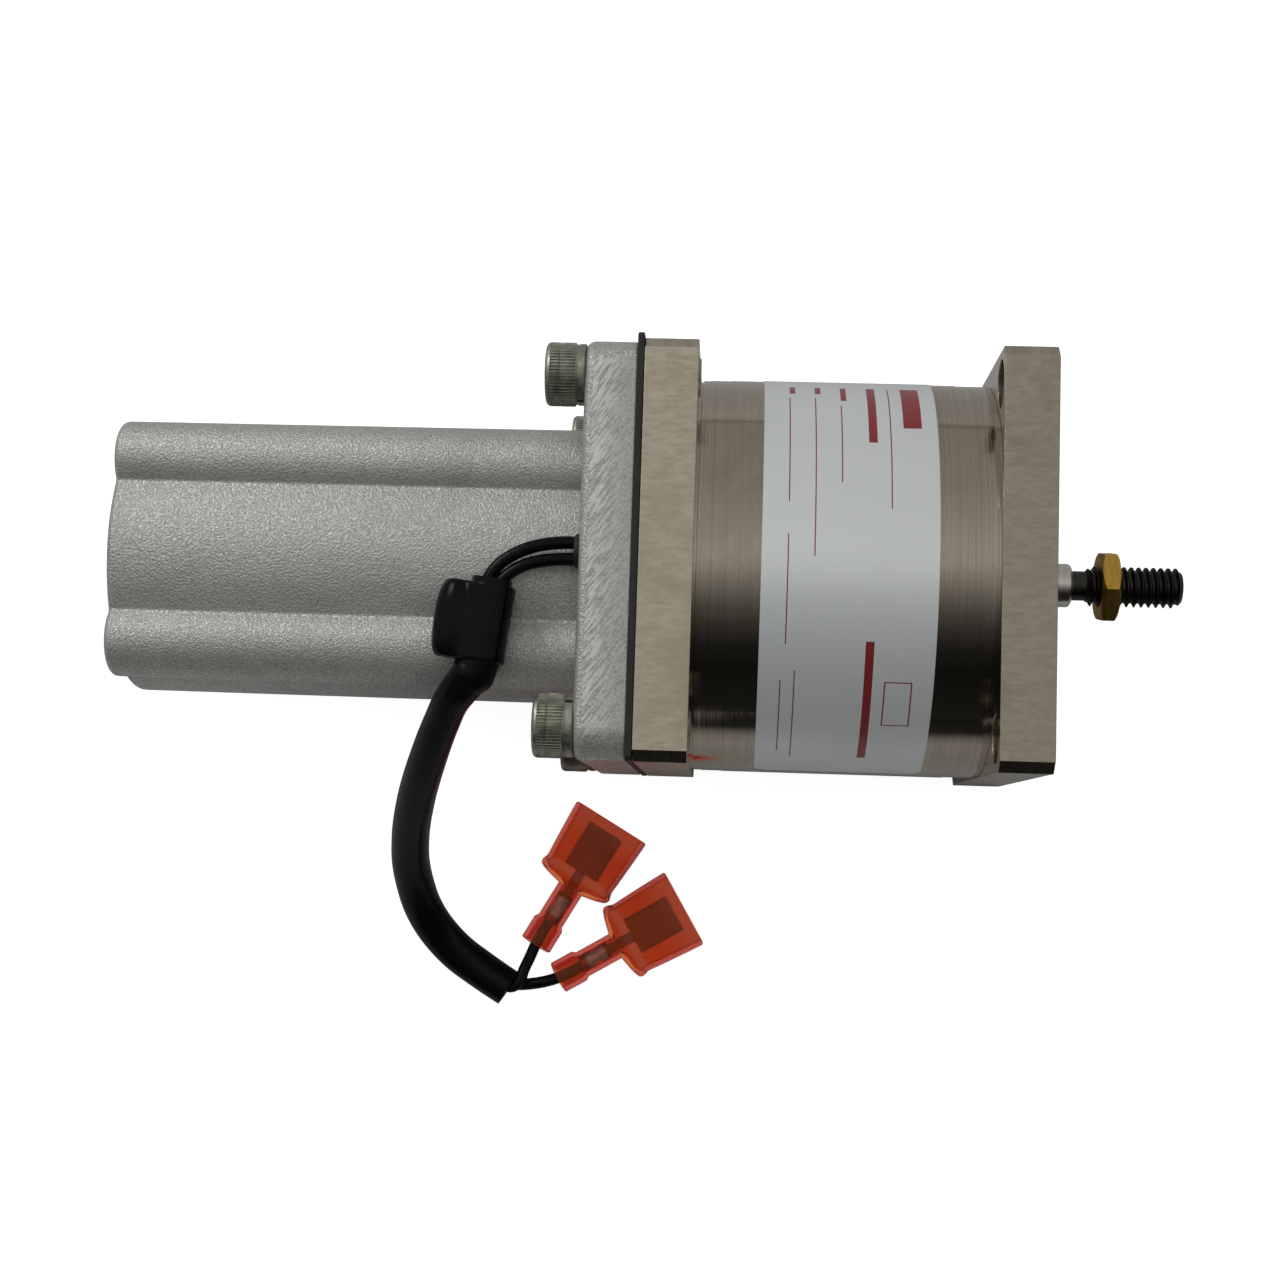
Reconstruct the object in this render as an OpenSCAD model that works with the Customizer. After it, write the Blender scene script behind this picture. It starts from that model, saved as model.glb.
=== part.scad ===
// Linear governor actuator: square-flanged solenoid case, cast spring cover and flying leads.
// X runs along the output shaft, out of the mounting face. Z is up as the part lies on its flats.

/* [Solenoid case] */
// Side of the square flanges
flange_side = 76.2; // [72:0.1:84]
// Thickness of each case flange
flange_t = 9.8; // [8:0.1:12]
// Case length from the rear face to the mounting face
case_len = 74; // [70:0.5:84]
// How far the turned body lies inside the flats of the flanges
body_relief = 0.2; // [0.1:0.1:2]
// Chamfer along the long edges of the flanges
edge_chamfer = 2; // [0.5:0.1:4]
// Bore that holds the coil
case_bore_d = 66; // [65:0.5:68]
// Bore in the front wall around the shaft
front_bore_d = 18; // [16:0.5:22]
// Diameter of the four mounting holes
mount_hole_d = 8.8; // [7:0.1:9.5]

/* [Spring cover] */
// Thickness of the cover's flange
cover_flange_t = 9.4; // [7:0.1:12]
// Corner radius of the cover's flange
cover_corner_r = 6; // [3:0.5:8]
// Rounding of the flange's rear edge
cover_edge_r = 2; // [1:0.1:2.5]
// Length of the housing behind the flange
cover_len = 88.9; // [88:0.1:110]
// Diameter of the housing's core at the flange
core_d = 51.6; // [50:0.1:52]
// Diameter of the four corner columns at the flange
column_d = 14.8; // [13:0.1:16]
// Distance of each column from the axis, along Y and along Z
column_offset = 17.2; // [16:0.1:18]
// Casting draft: radius lost from the flange to the end
draft = 0.3; // [0:0.05:0.6]
// Rounding of the housing's end edges
end_round = 1.5; // [1:0.5:4]
// Diameter of the spring cavity
cavity_d = 44; // [43:0.5:46]
// Thickness of the closed end wall
end_wall = 5; // [4:0.5:8]

/* [Gasket and fasteners] */
// Gasket thickness
gasket_t = 1.2; // [0.8:0.1:2]
// How far the gasket stands out past the upper edge
gasket_overhang = 0.8; // [0:0.1:1.5]
// Distance of each bolt axis from the flange edges
bolt_inset = 6.1; // [6:0.1:8]
// Cover screw diameter
screw_d = 7.9; // [6:0.1:8]
// Radial clearance of a screw in the cover and the gasket
screw_clear = 0.2; // [0.1:0.05:0.6]
// Screw head diameter
head_d = 11.6; // [10.5:0.1:12]
// Screw head height
head_h = 5.8; // [4:0.1:8]
// Edge chamfer of a screw head
head_chamfer = 0.6; // [0.2:0.1:1]
// Hex socket across flats
key_af = 6.3; // [4:0.1:7]
// Hex socket depth
key_depth = 3.4; // [2:0.1:4]
// How far a screw's tip stands out of the rear flange
screw_tip = 0.4; // [0.1:0.1:2]
// Lock washer outer diameter
washer_d = 11.2; // [10:0.1:11.6]
// Lock washer thickness
washer_t = 1.5; // [1.2:0.1:2.4]
// Width of the split in a lock washer
washer_split = 0.8; // [0.4:0.1:1.2]

/* [Coil and magnetic parts] */
// Thickness of the rear flux plate
flux_plate_t = 6; // [4:0.5:8]
// Outer diameter of the bobbin's end flanges
bobbin_d = 64; // [63:0.5:64.5]
// Thickness of the bobbin's end flanges
bobbin_flange_t = 2; // [1.5:0.1:3]
// Wall of the bobbin's core
bobbin_wall = 1.5; // [1:0.1:2.5]
// Outer diameter of the copper winding
winding_d = 62; // [60:0.5:62]
// Thickness of the insulating wrap around the winding
wrap_t = 0.6; // [0.3:0.1:0.9]
// Wall of the brass guide tube
tube_wall = 1; // [0.6:0.1:1.5]
// Length of the pole piece inside the coil
pole_len = 20.2; // [16:0.1:24]
// Length of the pole piece's spigot in the front wall
spigot_len = 5.4; // [4:0.1:6]
// Thickness of the brass shim that keeps plunger and pole apart
shim_t = 0.5; // [0.3:0.1:1]
// Rim of pole left uncovered around the shim
shim_rim = 1; // [0.5:0.1:2]

/* [Plunger and shaft] */
// Travel of the plunger
stroke = 16; // [8:0.5:18]
// Air left before the shim at full travel
travel_gap = 0.5; // [0.3:0.1:1]
// Plunger diameter
plunger_d = 30; // [26:0.5:31]
// Plunger length
plunger_len = 36; // [30:0.5:42]
// Output shaft diameter
shaft_d = 8.4; // [7.5:0.1:10]
// How far the shaft stands out of the mounting face
shaft_reach = 8.2; // [6:0.1:12]
// Edge chamfer of the shaft
shaft_chamfer = 0.6; // [0.2:0.1:0.8]
// Wall of the front bushing
bushing_wall = 1.8; // [1.2:0.1:2.4]
// How far the bushing lies back from the pole face
bushing_setback = 2; // [1:0.5:4]
// Thickness of the shaft's wiper seal
seal_t = 3.4; // [2:0.1:3.8]
// How far the wiper seal lies behind the mounting face
seal_room = 0.3; // [0.1:0.1:0.4]

/* [Output stud] */
// Major diameter of the stud's thread
stud_d = 7.8; // [7:0.1:8]
// Diameter of the thread where the nut holds it
pitch_d = 7.2; // [6.4:0.1:7.4]
// Diameter of the stud's neck and of its tail in the shaft
neck_d = 5.7; // [4.5:0.1:6]
// Length of the bare neck
neck_len = 2.8; // [1:0.1:5]
// Depth of the stud's tail in the shaft
tail_len = 9.5; // [6:0.1:12]
// Length of the threaded end
thread_len = 18.4; // [14:0.1:30]
// End chamfers of the thread
thread_chamfer = 0.8; // [0.4:0.1:1.2]
// Thread left bare behind the jam nut
nut_set = 2.5; // [1.5:0.1:5]
// Jam nut across flats
nut_af = 12.7; // [11:0.1:14]
// Jam nut thickness
nut_t = 3.5; // [3:0.1:6]
// Turn of the jam nut about the stud
nut_turn = 11; // [0:1:60]

/* [Return spring] */
// Outer diameter of the spring
spring_d = 39; // [37:0.5:40]
// Wire diameter
wire_d = 2.4; // [1.8:0.1:2.6]
// Working turns, apart from one closed turn at each end
turns = 8; // [6:1:10]
// Pitch of a closed end turn, in wire diameters
closed_pitch = 1.05; // [1.02:0.01:1.1]
// Length of the fitted spring at rest
spring_len = 71.5; // [66:0.5:72]
// Thickness of the fixed spring seat
seat_t = 2.5; // [1.5:0.1:4]
// Room around the seat, and around the plunger that passes it
seat_room = 0.4; // [0.2:0.1:0.5]
// Outer diameter of the moving spring retainer
retainer_d = 41; // [40.5:0.5:42]
// Thickness of the retainer's disc
retainer_t = 3; // [2:0.1:4]
// Diameter of the retainer's hub
hub_d = 16; // [14:0.5:24]
// Length of the retainer's hub
hub_len = 6; // [3:0.5:10]
// Retainer nut across flats
retainer_nut_af = 13; // [12:0.5:16]
// Retainer nut thickness
retainer_nut_t = 6; // [4:0.5:7]
// Shaft left standing out behind the retainer nut
shaft_tail = 2; // [1:0.5:4]
// Diameter of the rubber rest bumper
bumper_d = 26; // [18:0.5:36]
// Gap between the shaft's tail and the bumper at rest
rest_gap = 0.3; // [0.2:0.1:0.8]

/* [Nameplate] */
// Width of the blank plate along the body
plate_w = 31.4; // [20:0.2:40]
// Distance from the mounting face to the plate
plate_x = 20.7; // [14:0.1:22]
// Arc that the plate covers
plate_arc = 170.5; // [90:0.5:180]
// How far round the plate sits from the top, towards the side away from the leads
plate_turn = 3.75; // [-5:0.25:5]
// Thickness of the plate
plate_t = 0.12; // [0.08:0.01:0.15]
// Adhesive under the plate
plate_glue = 0.02; // [0.01:0.01:0.03]

/* [Leads] */
// Diameter of each insulated lead
lead_d = 2.4; // [1.8:0.1:2.5]
// Distance between the two leads in the grommet
lead_pitch = 3; // [2.7:0.1:3.2]
// Height of the leads over the axis
lead_z = 29.8; // [29.6:0.1:30]
// Sideways place of the grommet
lead_y = -0.05; // [-1:0.05:1]
// Width of the slots that let the leads out of the coil
lead_slot_w = 8; // [7:0.5:10]
// Grommet diameter
grommet_d = 6.4; // [6.2:0.1:7]
// How far the grommet stands out of the cover's flange
grommet_out = 1.3; // [0.5:0.1:2]
// Sleeve diameter
sleeve_d = 7.4; // [7:0.1:7.6]
// Sleeve wall
sleeve_wall = 0.8; // [0.5:0.1:0.85]
// Half the distance between the leads in the sleeve
lead_side = 1.23; // [1.21:0.01:1.3]
// How far the pair of leads lies off the sleeve's centre
lead_lean = 0.42; // [0:0.01:0.45]
// Wall of the clip around the sleeve
clip_wall = 0.8; // [0.5:0.1:0.85]
// Length of the clip along the sleeve
clip_len = 14.2; // [8:0.1:15]
// Diameter of the clip's side lobe
lobe_d = 7.2; // [5:0.1:8]
// Distance of the side lobe from the sleeve
lobe_side = 5.8; // [5:0.1:7]
// Thickness of the web between sleeve and side lobe
web_t = 4.8; // [3:0.1:6]
// How much shorter the side lobe is at each end
lobe_inset = 1; // [0.2:0.1:2]

/* [Connectors] */
// Length of an insulator's barrel
barrel_len = 13.6; // [12.5:0.1:14]
// Diameter of the barrel
barrel_d = 5.7; // [5.4:0.1:6.2]
// Diameter of the barrel's funnel end
funnel_d = 6.8; // [6.4:0.1:7]
// Length of the funnel end
funnel_len = 5.6; // [4:0.1:6]
// Wall of the funnel end and of the hood
insulator_wall = 0.9; // [0.6:0.1:1]
// Length of the sloping shoulder
shoulder_len = 1.8; // [1:0.1:3]
// Length of the wings behind the hood
wing_len = 1.2; // [0.8:0.1:2]
// Width across the wings
wing_w = 16.4; // [15:0.1:17]
// Length of the hood
hood_len = 13.4; // [12:0.1:15]
// Width of the hood at its opening
hood_w = 17; // [14:0.1:17.4]
// Width of the hood at the wings
hood_base_w = 15.6; // [14:0.1:16]
// Thickness of the hood
hood_t = 6.6; // [5.6:0.1:6.8]
// Corner radius of the hood
hood_r = 1.8; // [1.2:0.1:2.4]
// Diameter of the terminal's crimped barrel
crimp_d = 3.9; // [3.6:0.1:4.2]
// Length of the crimped barrel
crimp_len = 6.6; // [4:0.1:6.8]
// Width of the receptacle
receptacle_w = 8.2; // [7:0.1:9]
// Thickness of the receptacle
receptacle_t = 2.8; // [2.4:0.1:3.2]
// Length of the receptacle
receptacle_len = 10; // [6:0.1:10.5]
// How far the receptacle starts inside the hood
receptacle_set = 1.2; // [0.5:0.1:2]
// Sheet thickness of the terminal
sheet_t = 0.8; // [0.5:0.1:0.9]

/* [Fits] */
// Radial clearance of parts that are assembled and then stay put
slip_fit = 0.05; // [0.02:0.01:0.08]
// Radial clearance of the shaft in its bushing
run_fit = 0.04; // [0.02:0.01:0.09]
// Radial clearance of the plunger in its guide tube
plunger_fit = 0.08; // [0.03:0.01:0.1]
// Radial clearance of threads
thread_fit = 0.05; // [0.02:0.01:0.08]
// Air between the spring's ends and its seats
spring_fit = 0.05; // [0.02:0.01:0.1]
// Air between the lying connectors and the surface below
lying_gap = 0.1; // [0.05:0.05:0.2]

/* [Hidden] */
$fn = 64;
// Overlap that makes cuts run clean through
over = 1;
// Sides of the swept sleeve, leads and spring wire
sleeve_sides = 10;
wire_sides = 8;
spring_steps = 20;

// Planes along the axis, from the mounting face backwards
x_front_inner = -flange_t;
x_rear = -case_len;
x_rear_inner = x_rear + flange_t;
x_cover_face = x_rear - gasket_t;
x_cover_rear = x_cover_face - cover_flange_t;
x_cover_end = x_cover_rear - cover_len;
x_cavity_end = x_cover_end + end_wall;
x_coil_rear = x_rear + flux_plate_t;
x_winding_rear = x_coil_rear + bobbin_flange_t;
x_winding_front = x_front_inner - bobbin_flange_t;
x_pole = x_front_inner - pole_len;
x_spigot = x_front_inner + spigot_len;
x_plunger_front = x_pole - shim_t - travel_gap - stroke;
x_seat = x_rear - seat_t;
x_retainer = x_seat - spring_len;
x_retainer_rear = x_retainer - retainer_t;
x_shaft_rear = x_retainer_rear - retainer_nut_t - shaft_tail;
x_thread = shaft_reach + neck_len;
x_nut = x_thread + nut_set;
x_stud_end = x_thread + thread_len;

// Diameters and places that follow from the sizes above
body_d = flange_side - 2 * body_relief;
rest_z = -flange_side / 2;
bolt_at = flange_side / 2 - bolt_inset;
tube_id = plunger_d + 2 * plunger_fit;
tube_od = tube_id + 2 * tube_wall;
bobbin_id = tube_od + 2 * slip_fit;
core_od = bobbin_id + 2 * bobbin_wall;
bushing_od = shaft_d + 2 * run_fit + 2 * bushing_wall;
clip_d = sleeve_d + 2 * slip_fit + 2 * clip_wall;
x_wing = barrel_len + shoulder_len;
x_hood = x_wing + wing_len;
insulator_len = x_hood + hood_len;
connector_z = rest_z + max(funnel_d, hood_t) / 2 + lying_gap;
lead_slot_z = lead_z - grommet_d / 2;

// The sleeve's route: straight through the clip, over the side of the cover and down to the table
sleeve_route = [
    [-100.6, -5.6, lead_z], [-101.62, -13.7, lead_z], [-102.58, -21.35, lead_z],
    [-104.87, -24.2, 28.4], [-107.82, -27.45, 24.9], [-109.96, -30.91, 20.6],
    [-113.88, -38.01, 10.8], [-117.47, -45.42, -0.6], [-120.03, -53.21, -12.4],
    [-120.64, -57.65, -18.4], [-120.35, -61.95, -23.4], [-119.25, -66.51, -27.6],
    [-117.41, -70.24, -30.4], [-114.82, -73.64, -32.4], [-111.62, -76.69, -33.6],
    [-108.13, -79.14, -34.2], [-104.74, -81.3, -34.2], [-101.45, -83.29, -34.2]
];
// How many of these points both leads follow, side by side
gathered = len(sleeve_route) - 4;
// The leads between the grommet and the sleeve
start_a = [
    [-88.6, -1.62, lead_z], [-91.8, -2, lead_z], [-94.5, -2.7, lead_z], [-96.8, -3.9, lead_z]
];
start_b = [
    [-88.6, 1.4, lead_z], [-91.8, 0.95, lead_z], [-94.6, 0.15, lead_z], [-97.3, -1.15, lead_z],
    [-99.6, -2.9, lead_z]
];
// The leads from there, one over the other, out of the sleeve and to their connectors
end_a = [
    [-110.86, -75.76, -32.6], [-107.79, -78.64, -33], [-104.16, -81.8, -32.95],
    [-102.3, -82.65, -32.95], [-100.45, -82.85, -32.9], [-99.05, -81.65, -32.85],
    [-98.3, -79.4, -33.35], [-97.21, -76.74, -34.2]
];
end_b = [
    [-112, -77.15, -34.65], [-107.99, -78.94, -35.45], [-104.27, -80.53, -35.45],
    [-102.01, -82.07, -35.45], [-100.62, -82.51, -35.4], [-99.13, -82.53, -35.2],
    [-97.37, -82.35, -34.95], [-95.47, -82.04, -34.75], [-93.48, -81.57, -34.6]
];
// Each connector: where its barrel opens, and the angle at which it lies
connector_a = [-96.15, -74.1, 59.8];
connector_b = [-91.16, -80.8, 30.7];

function unit(v) = v / norm(v);
function heading(route, i) = unit(route[min(i + 1, len(route) - 1)] - route[max(i - 1, 0)]);
function right_of(t) = unit(cross(t, [0, 0, 1]));
function ring_at(route, i, r, n) =
    let (t = heading(route, i), u = right_of(t), v = cross(u, t))
    [for (k = [0 : n - 1]) route[i] + r * (cos(360 * k / n) * u + sin(360 * k / n) * v)];
function beside(route, side, count) =
    [for (i = [0 : count - 1]) route[i] + side * right_of(heading(route, i))];
function on_connector(c, s) = [c[0] + s * cos(c[2]), c[1] + s * sin(c[2]), connector_z];
function from_grommet(side) =
    [for (x = [x_winding_rear, x_cover_face, x_cover_rear]) [x, lead_y + side, lead_z]];
function into_crimp(c) = [on_connector(c, 0), on_connector(c, funnel_len + crimp_len - over)];
function wire_ring(i, n) =
    let (whole = turns + 2, turn = whole * i / n, rise = min(max(turn - 1, 0), turns) / turns,
         closed = min(turn, 1) + max(turn - turns - 1, 0),
         free_len = spring_len - 2 * spring_fit - (1 + 2 * closed_pitch) * wire_d)
    [x_seat - spring_fit - wire_d / 2 - closed_pitch * wire_d * closed - free_len * rise, 360 * turn];

// A cylinder along X
module x_rod(x0, x1, d) {
    translate([x0, 0, 0])
        rotate([0, 90, 0])
            cylinder(h = x1 - x0, d = d);
}

// A cylinder along X with chamfered ends
module x_pin(x0, x1, d, c0, c1) {
    translate([x0, 0, 0])
        rotate([0, 90, 0])
            rotate_extrude()
                polygon([
                    [0, 0], [d / 2 - c0, 0], [d / 2, c0],
                    [d / 2, x1 - x0 - c1], [d / 2 - c1, x1 - x0], [0, x1 - x0]
                ]);
}

// A ring along X
module x_ring(x0, x1, d_out, d_in) {
    difference() {
        x_rod(x0, x1, d_out);
        x_rod(x0 - over, x1 + over, d_in);
    }
}

// A square bar along X with chamfered long edges
module x_bar(x0, x1, side, chamfer) {
    a = side / 2;
    b = a - chamfer;
    translate([x0, 0, 0])
        rotate([90, 0, 90])
            linear_extrude(x1 - x0)
                polygon([[a, b], [b, a], [-b, a], [-a, b], [-a, -b], [-b, -a], [b, -a], [a, -b]]);
}

// Copies at the four bolt axes
module at_bolts() {
    for (sy = [-1, 1], sz = [-1, 1])
        translate([0, sy * bolt_at, sz * bolt_at])
            children();
}

// A round tube swept along a route
module swept(route, r, n) {
    last = len(route) - 1;
    points = [for (i = [0 : last]) each ring_at(route, i, r, n)];
    sides = [
        for (i = [0 : last - 1], k = [0 : n - 1])
            let (a = i * n + k, b = i * n + (k + 1) % n)
            each [[a, a + n, b], [b, a + n, b + n]]
    ];
    first_cap = [for (k = [0 : n - 1]) k];
    last_cap = [for (k = [n - 1 : -1 : 0]) last * n + k];
    polyhedron(points, concat([first_cap], sides, [last_cap]));
}

// A hollow tube swept along a route
module swept_shell(route, r_out, r_in, n) {
    last = len(route) - 1;
    inner = (last + 1) * n;
    points = [for (r = [r_out, r_in], i = [0 : last]) each ring_at(route, i, r, n)];
    walls = [
        for (i = [0 : last - 1], k = [0 : n - 1])
            let (a = i * n + k, b = i * n + (k + 1) % n, c = a + inner, d = b + inner)
            each [[a, a + n, b], [b, a + n, b + n], [c, d, c + n], [d, d + n, c + n]]
    ];
    ends = [
        for (k = [0 : n - 1])
            let (a = k, b = (k + 1) % n, c = last * n + a, d = last * n + b)
            each [
                [a, b, b + inner], [a, b + inner, a + inner],
                [d, c, c + inner], [d, c + inner, d + inner]
            ]
    ];
    polyhedron(points, concat(walls, ends));
}

// A housing column with casting draft and a rounded end, standing along Z
module cast_column(d, height) {
    r_end = d / 2 - draft;
    rotate_extrude()
        union() {
            polygon([[0, 0], [d / 2, 0], [r_end, height - end_round], [0, height - end_round]]);
            square([r_end - end_round, height]);
            translate([r_end - end_round, height - end_round])
                intersection() {
                    circle(end_round);
                    square(end_round);
                }
        }
}

// One corner post of the cover's flange, with its rear edge rounded
module flange_post() {
    core_r = cover_corner_r - cover_edge_r;
    cylinder(h = cover_flange_t - cover_edge_r, r = cover_corner_r, $fn = 32);
    translate([0, 0, cover_flange_t - cover_edge_r])
        rotate_extrude($fn = 32)
            translate([core_r, 0])
                intersection() {
                    circle(cover_edge_r, $fn = 32);
                    square(cover_edge_r);
                }
}

// A slab with rounded long edges, along X
module x_slab(x0, x1, w, t, r) {
    for (sy = [-1, 1], sz = [-1, 1])
        translate([0, sy * (w / 2 - r), sz * (t / 2 - r)])
            rotate([0, 90, 0])
                translate([0, 0, x0])
                    cylinder(h = x1 - x0, r = r, $fn = 24);
}

// The steel case, turned from square bar, with the coil bore open at the rear
module solenoid_case() {
    color("#b8ad9c")
        difference() {
            union() {
                x_bar(x_rear, x_rear_inner, flange_side, edge_chamfer);
                x_rod(x_rear, 0, body_d);
                x_bar(x_front_inner, 0, flange_side, edge_chamfer);
            }
            x_rod(x_rear - over, x_front_inner, case_bore_d);
            x_rod(x_front_inner - over, over, front_bore_d);
            at_bolts()
                x_rod(x_rear - over, x_rear_inner + over, screw_d + 2 * thread_fit);
            at_bolts()
                x_rod(x_front_inner - over, over, mount_hole_d);
        }
}

// The die-cast cover: flange, core, four corner columns and the spring cavity
module spring_cover() {
    post_at = flange_side / 2 - cover_corner_r;
    color("#a9abad")
        difference() {
            union() {
                translate([x_cover_face, 0, 0])
                    rotate([0, -90, 0])
                        hull()
                            for (sy = [-1, 1], sz = [-1, 1])
                                translate([sz * post_at, sy * post_at, 0])
                                    flange_post();
                translate([x_cover_rear + over, 0, 0])
                    rotate([0, -90, 0])
                        cast_column(core_d, cover_len + over);
                for (sy = [-1, 1], sz = [-1, 1])
                    translate([x_cover_rear + over, sy * column_offset, sz * column_offset])
                        rotate([0, -90, 0])
                            cast_column(column_d, cover_len + over);
            }
            x_rod(x_cavity_end, x_cover_face + over, cavity_d);
            at_bolts()
                x_rod(x_cover_rear - over, x_cover_face + over, screw_d + 2 * screw_clear);
            translate([0, lead_y, lead_z])
                x_rod(x_cover_rear - over, x_cover_face + over, grommet_d + 2 * slip_fit);
        }
}

// The rubber gasket, which stands out a little past the upper edge
module cover_gasket() {
    color("#151515")
        difference() {
            translate([x_cover_face, -flange_side / 2, rest_z])
                cube([gasket_t, flange_side + gasket_overhang, flange_side]);
            x_rod(x_cover_face - over, x_rear + over, cavity_d);
            at_bolts()
                x_rod(x_cover_face - over, x_rear + over, screw_d + 2 * screw_clear);
            translate([0, lead_y, lead_z])
                x_rod(x_cover_face - over, x_rear + over, grommet_d + 2 * slip_fit);
        }
}

// Four socket-head screws that clamp the cover to the case
module cover_screws() {
    x_head = x_cover_rear - washer_t;
    color("#77766a")
        at_bolts()
            difference() {
                union() {
                    x_pin(x_head - head_h, x_head, head_d, head_chamfer, 0);
                    x_rod(x_head - over, x_rear_inner + screw_tip, screw_d);
                }
                translate([x_head - head_h - over, 0, 0])
                    rotate([0, 90, 0])
                        cylinder(h = key_depth + over, d = key_af / cos(30), $fn = 6);
            }
}

// Four split lock washers under the screw heads
module lock_washers() {
    color("#77766a")
        at_bolts()
            difference() {
                x_ring(x_cover_rear - washer_t, x_cover_rear, washer_d, screw_d + 2 * slip_fit);
                translate([x_cover_rear - washer_t - over, -washer_split / 2, 0])
                    cube([washer_t + 2 * over, washer_split, washer_d]);
            }
}

// The blank plate stuck round the near side of the body
module nameplate() {
    r_in = body_d / 2 + plate_glue;
    color("#dcdfe0")
        translate([-plate_x, 0, 0])
            rotate([0, -90, 0])
                rotate([0, 0, plate_turn - plate_arc / 2])
                    rotate_extrude(angle = plate_arc)
                        translate([r_in, 0])
                            square([plate_t, plate_w]);
}

// The moulded bobbin, slotted at the rear for the leads
module coil_bobbin() {
    color("#d8d2c0")
        difference() {
            union() {
                x_rod(x_coil_rear, x_winding_rear, bobbin_d);
                x_rod(x_coil_rear, x_front_inner, core_od);
                x_rod(x_winding_front, x_front_inner, bobbin_d);
            }
            x_rod(x_coil_rear - over, x_front_inner + over, bobbin_id);
            translate([x_coil_rear - over, lead_y - lead_slot_w / 2, lead_slot_z])
                cube([bobbin_flange_t + over, lead_slot_w, bobbin_d]);
        }
}

// The copper winding, drawn as one solid
module coil_winding() {
    color("#a5622f")
        x_ring(x_winding_rear, x_winding_front, winding_d, core_od + 2 * slip_fit);
}

// The insulating wrap around the winding
module coil_wrap() {
    d_in = winding_d + 2 * slip_fit;
    color("#c9a63c")
        x_ring(x_winding_rear, x_winding_front, d_in + 2 * wrap_t, d_in);
}

// The brass tube that the plunger slides in
module guide_tube() {
    color("#b9974a")
        x_ring(x_rear, x_front_inner, tube_od, tube_id);
}

// The steel plate that closes the magnetic circuit behind the coil
module rear_flux_plate() {
    color("#7d7f82")
        difference() {
            x_rod(x_rear, x_coil_rear, case_bore_d - 2 * slip_fit);
            x_rod(x_rear - over, x_coil_rear + over, tube_od + 2 * slip_fit);
            translate([x_rear - over, lead_y - lead_slot_w / 2, lead_slot_z])
                cube([flux_plate_t + 2 * over, lead_slot_w, case_bore_d]);
        }
}

// The front pole, set in the guide tube and in the case's front wall
module pole_piece() {
    color("#8a8c90")
        difference() {
            union() {
                x_rod(x_pole, x_front_inner, tube_id - 2 * slip_fit);
                x_rod(x_front_inner - over, x_spigot, front_bore_d - 2 * slip_fit);
            }
            x_rod(x_pole - over, x_spigot + over, bushing_od + 2 * slip_fit);
        }
}

// The thin brass disc on the pole face
module stop_shim() {
    color("#c2a14d")
        x_ring(x_pole - shim_t, x_pole, tube_id - 2 * shim_rim, bushing_od + 2 * slip_fit);
}

// The bronze bushing that guides the shaft
module front_bushing() {
    color("#a8834b")
        x_ring(x_pole + bushing_setback, x_spigot, bushing_od, shaft_d + 2 * run_fit);
}

// The rubber wiper around the shaft in the front wall
module wiper_seal() {
    color("#1c1c1c")
        x_ring(-seal_room - seal_t, -seal_room, front_bore_d - 2 * slip_fit, shaft_d + 2 * run_fit);
}

// The fixed washer that the spring pushes against
module spring_seat() {
    color("#8e9093")
        x_ring(x_seat, x_rear, cavity_d - 2 * seat_room, tube_id + 2 * seat_room);
}

// The return spring, with one closed turn at each end
module return_spring() {
    n = (turns + 2) * spring_steps;
    r = (spring_d - wire_d) / 2;
    points = [
        for (i = [0 : n])
            let (at = wire_ring(i, n))
            for (k = [0 : wire_sides - 1])
                let (a = 360 * k / wire_sides, out = r + wire_d / 2 * cos(a))
                [at[0] + wire_d / 2 * sin(a), out * cos(at[1]), out * sin(at[1])]
    ];
    sides = [
        for (i = [0 : n - 1], k = [0 : wire_sides - 1])
            let (a = i * wire_sides + k, b = i * wire_sides + (k + 1) % wire_sides)
            each [[a, b, a + wire_sides], [b, b + wire_sides, a + wire_sides]]
    ];
    first_cap = [for (k = [wire_sides - 1 : -1 : 0]) k];
    last_cap = [for (k = [0 : wire_sides - 1]) n * wire_sides + k];
    color("#6f7276")
        polyhedron(points, concat([first_cap], sides, [last_cap]));
}

// The rubber pad on the end wall that the shaft comes to rest on
module rest_bumper() {
    color("#222222")
        x_rod(x_cavity_end, x_shaft_rear - rest_gap, bumper_d);
}

// The rubber grommet around the two leads
module lead_grommet() {
    color("#101010")
        difference() {
            translate([0, lead_y, lead_z])
                x_rod(x_cover_rear - grommet_out, x_cover_face, grommet_d);
            for (side = [-1, 1])
                translate([0, lead_y + side * lead_pitch / 2, lead_z])
                    x_rod(x_cover_rear - grommet_out - over, x_cover_face + over, lead_d + 2 * slip_fit);
        }
}

// The lead on the lower side, which ends in the upper connector
module lead_wire_a() {
    route = concat(from_grommet(-lead_pitch / 2), start_a,
                   beside(sleeve_route, -lead_lean - lead_side, gathered),
                   end_a, into_crimp(connector_a));
    color("#141414")
        swept(route, lead_d / 2, wire_sides);
}

// The lead on the upper side, which ends in the lower connector
module lead_wire_b() {
    route = concat(from_grommet(lead_pitch / 2), start_b,
                   beside(sleeve_route, lead_side - lead_lean, gathered),
                   end_b, into_crimp(connector_b));
    color("#141414")
        swept(route, lead_d / 2, wire_sides);
}

// The hollow sleeve that gathers the leads
module lead_sleeve() {
    color("#0d0d0d")
        swept_shell(sleeve_route, sleeve_d / 2, sleeve_d / 2 - sleeve_wall, sleeve_sides);
}

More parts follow.
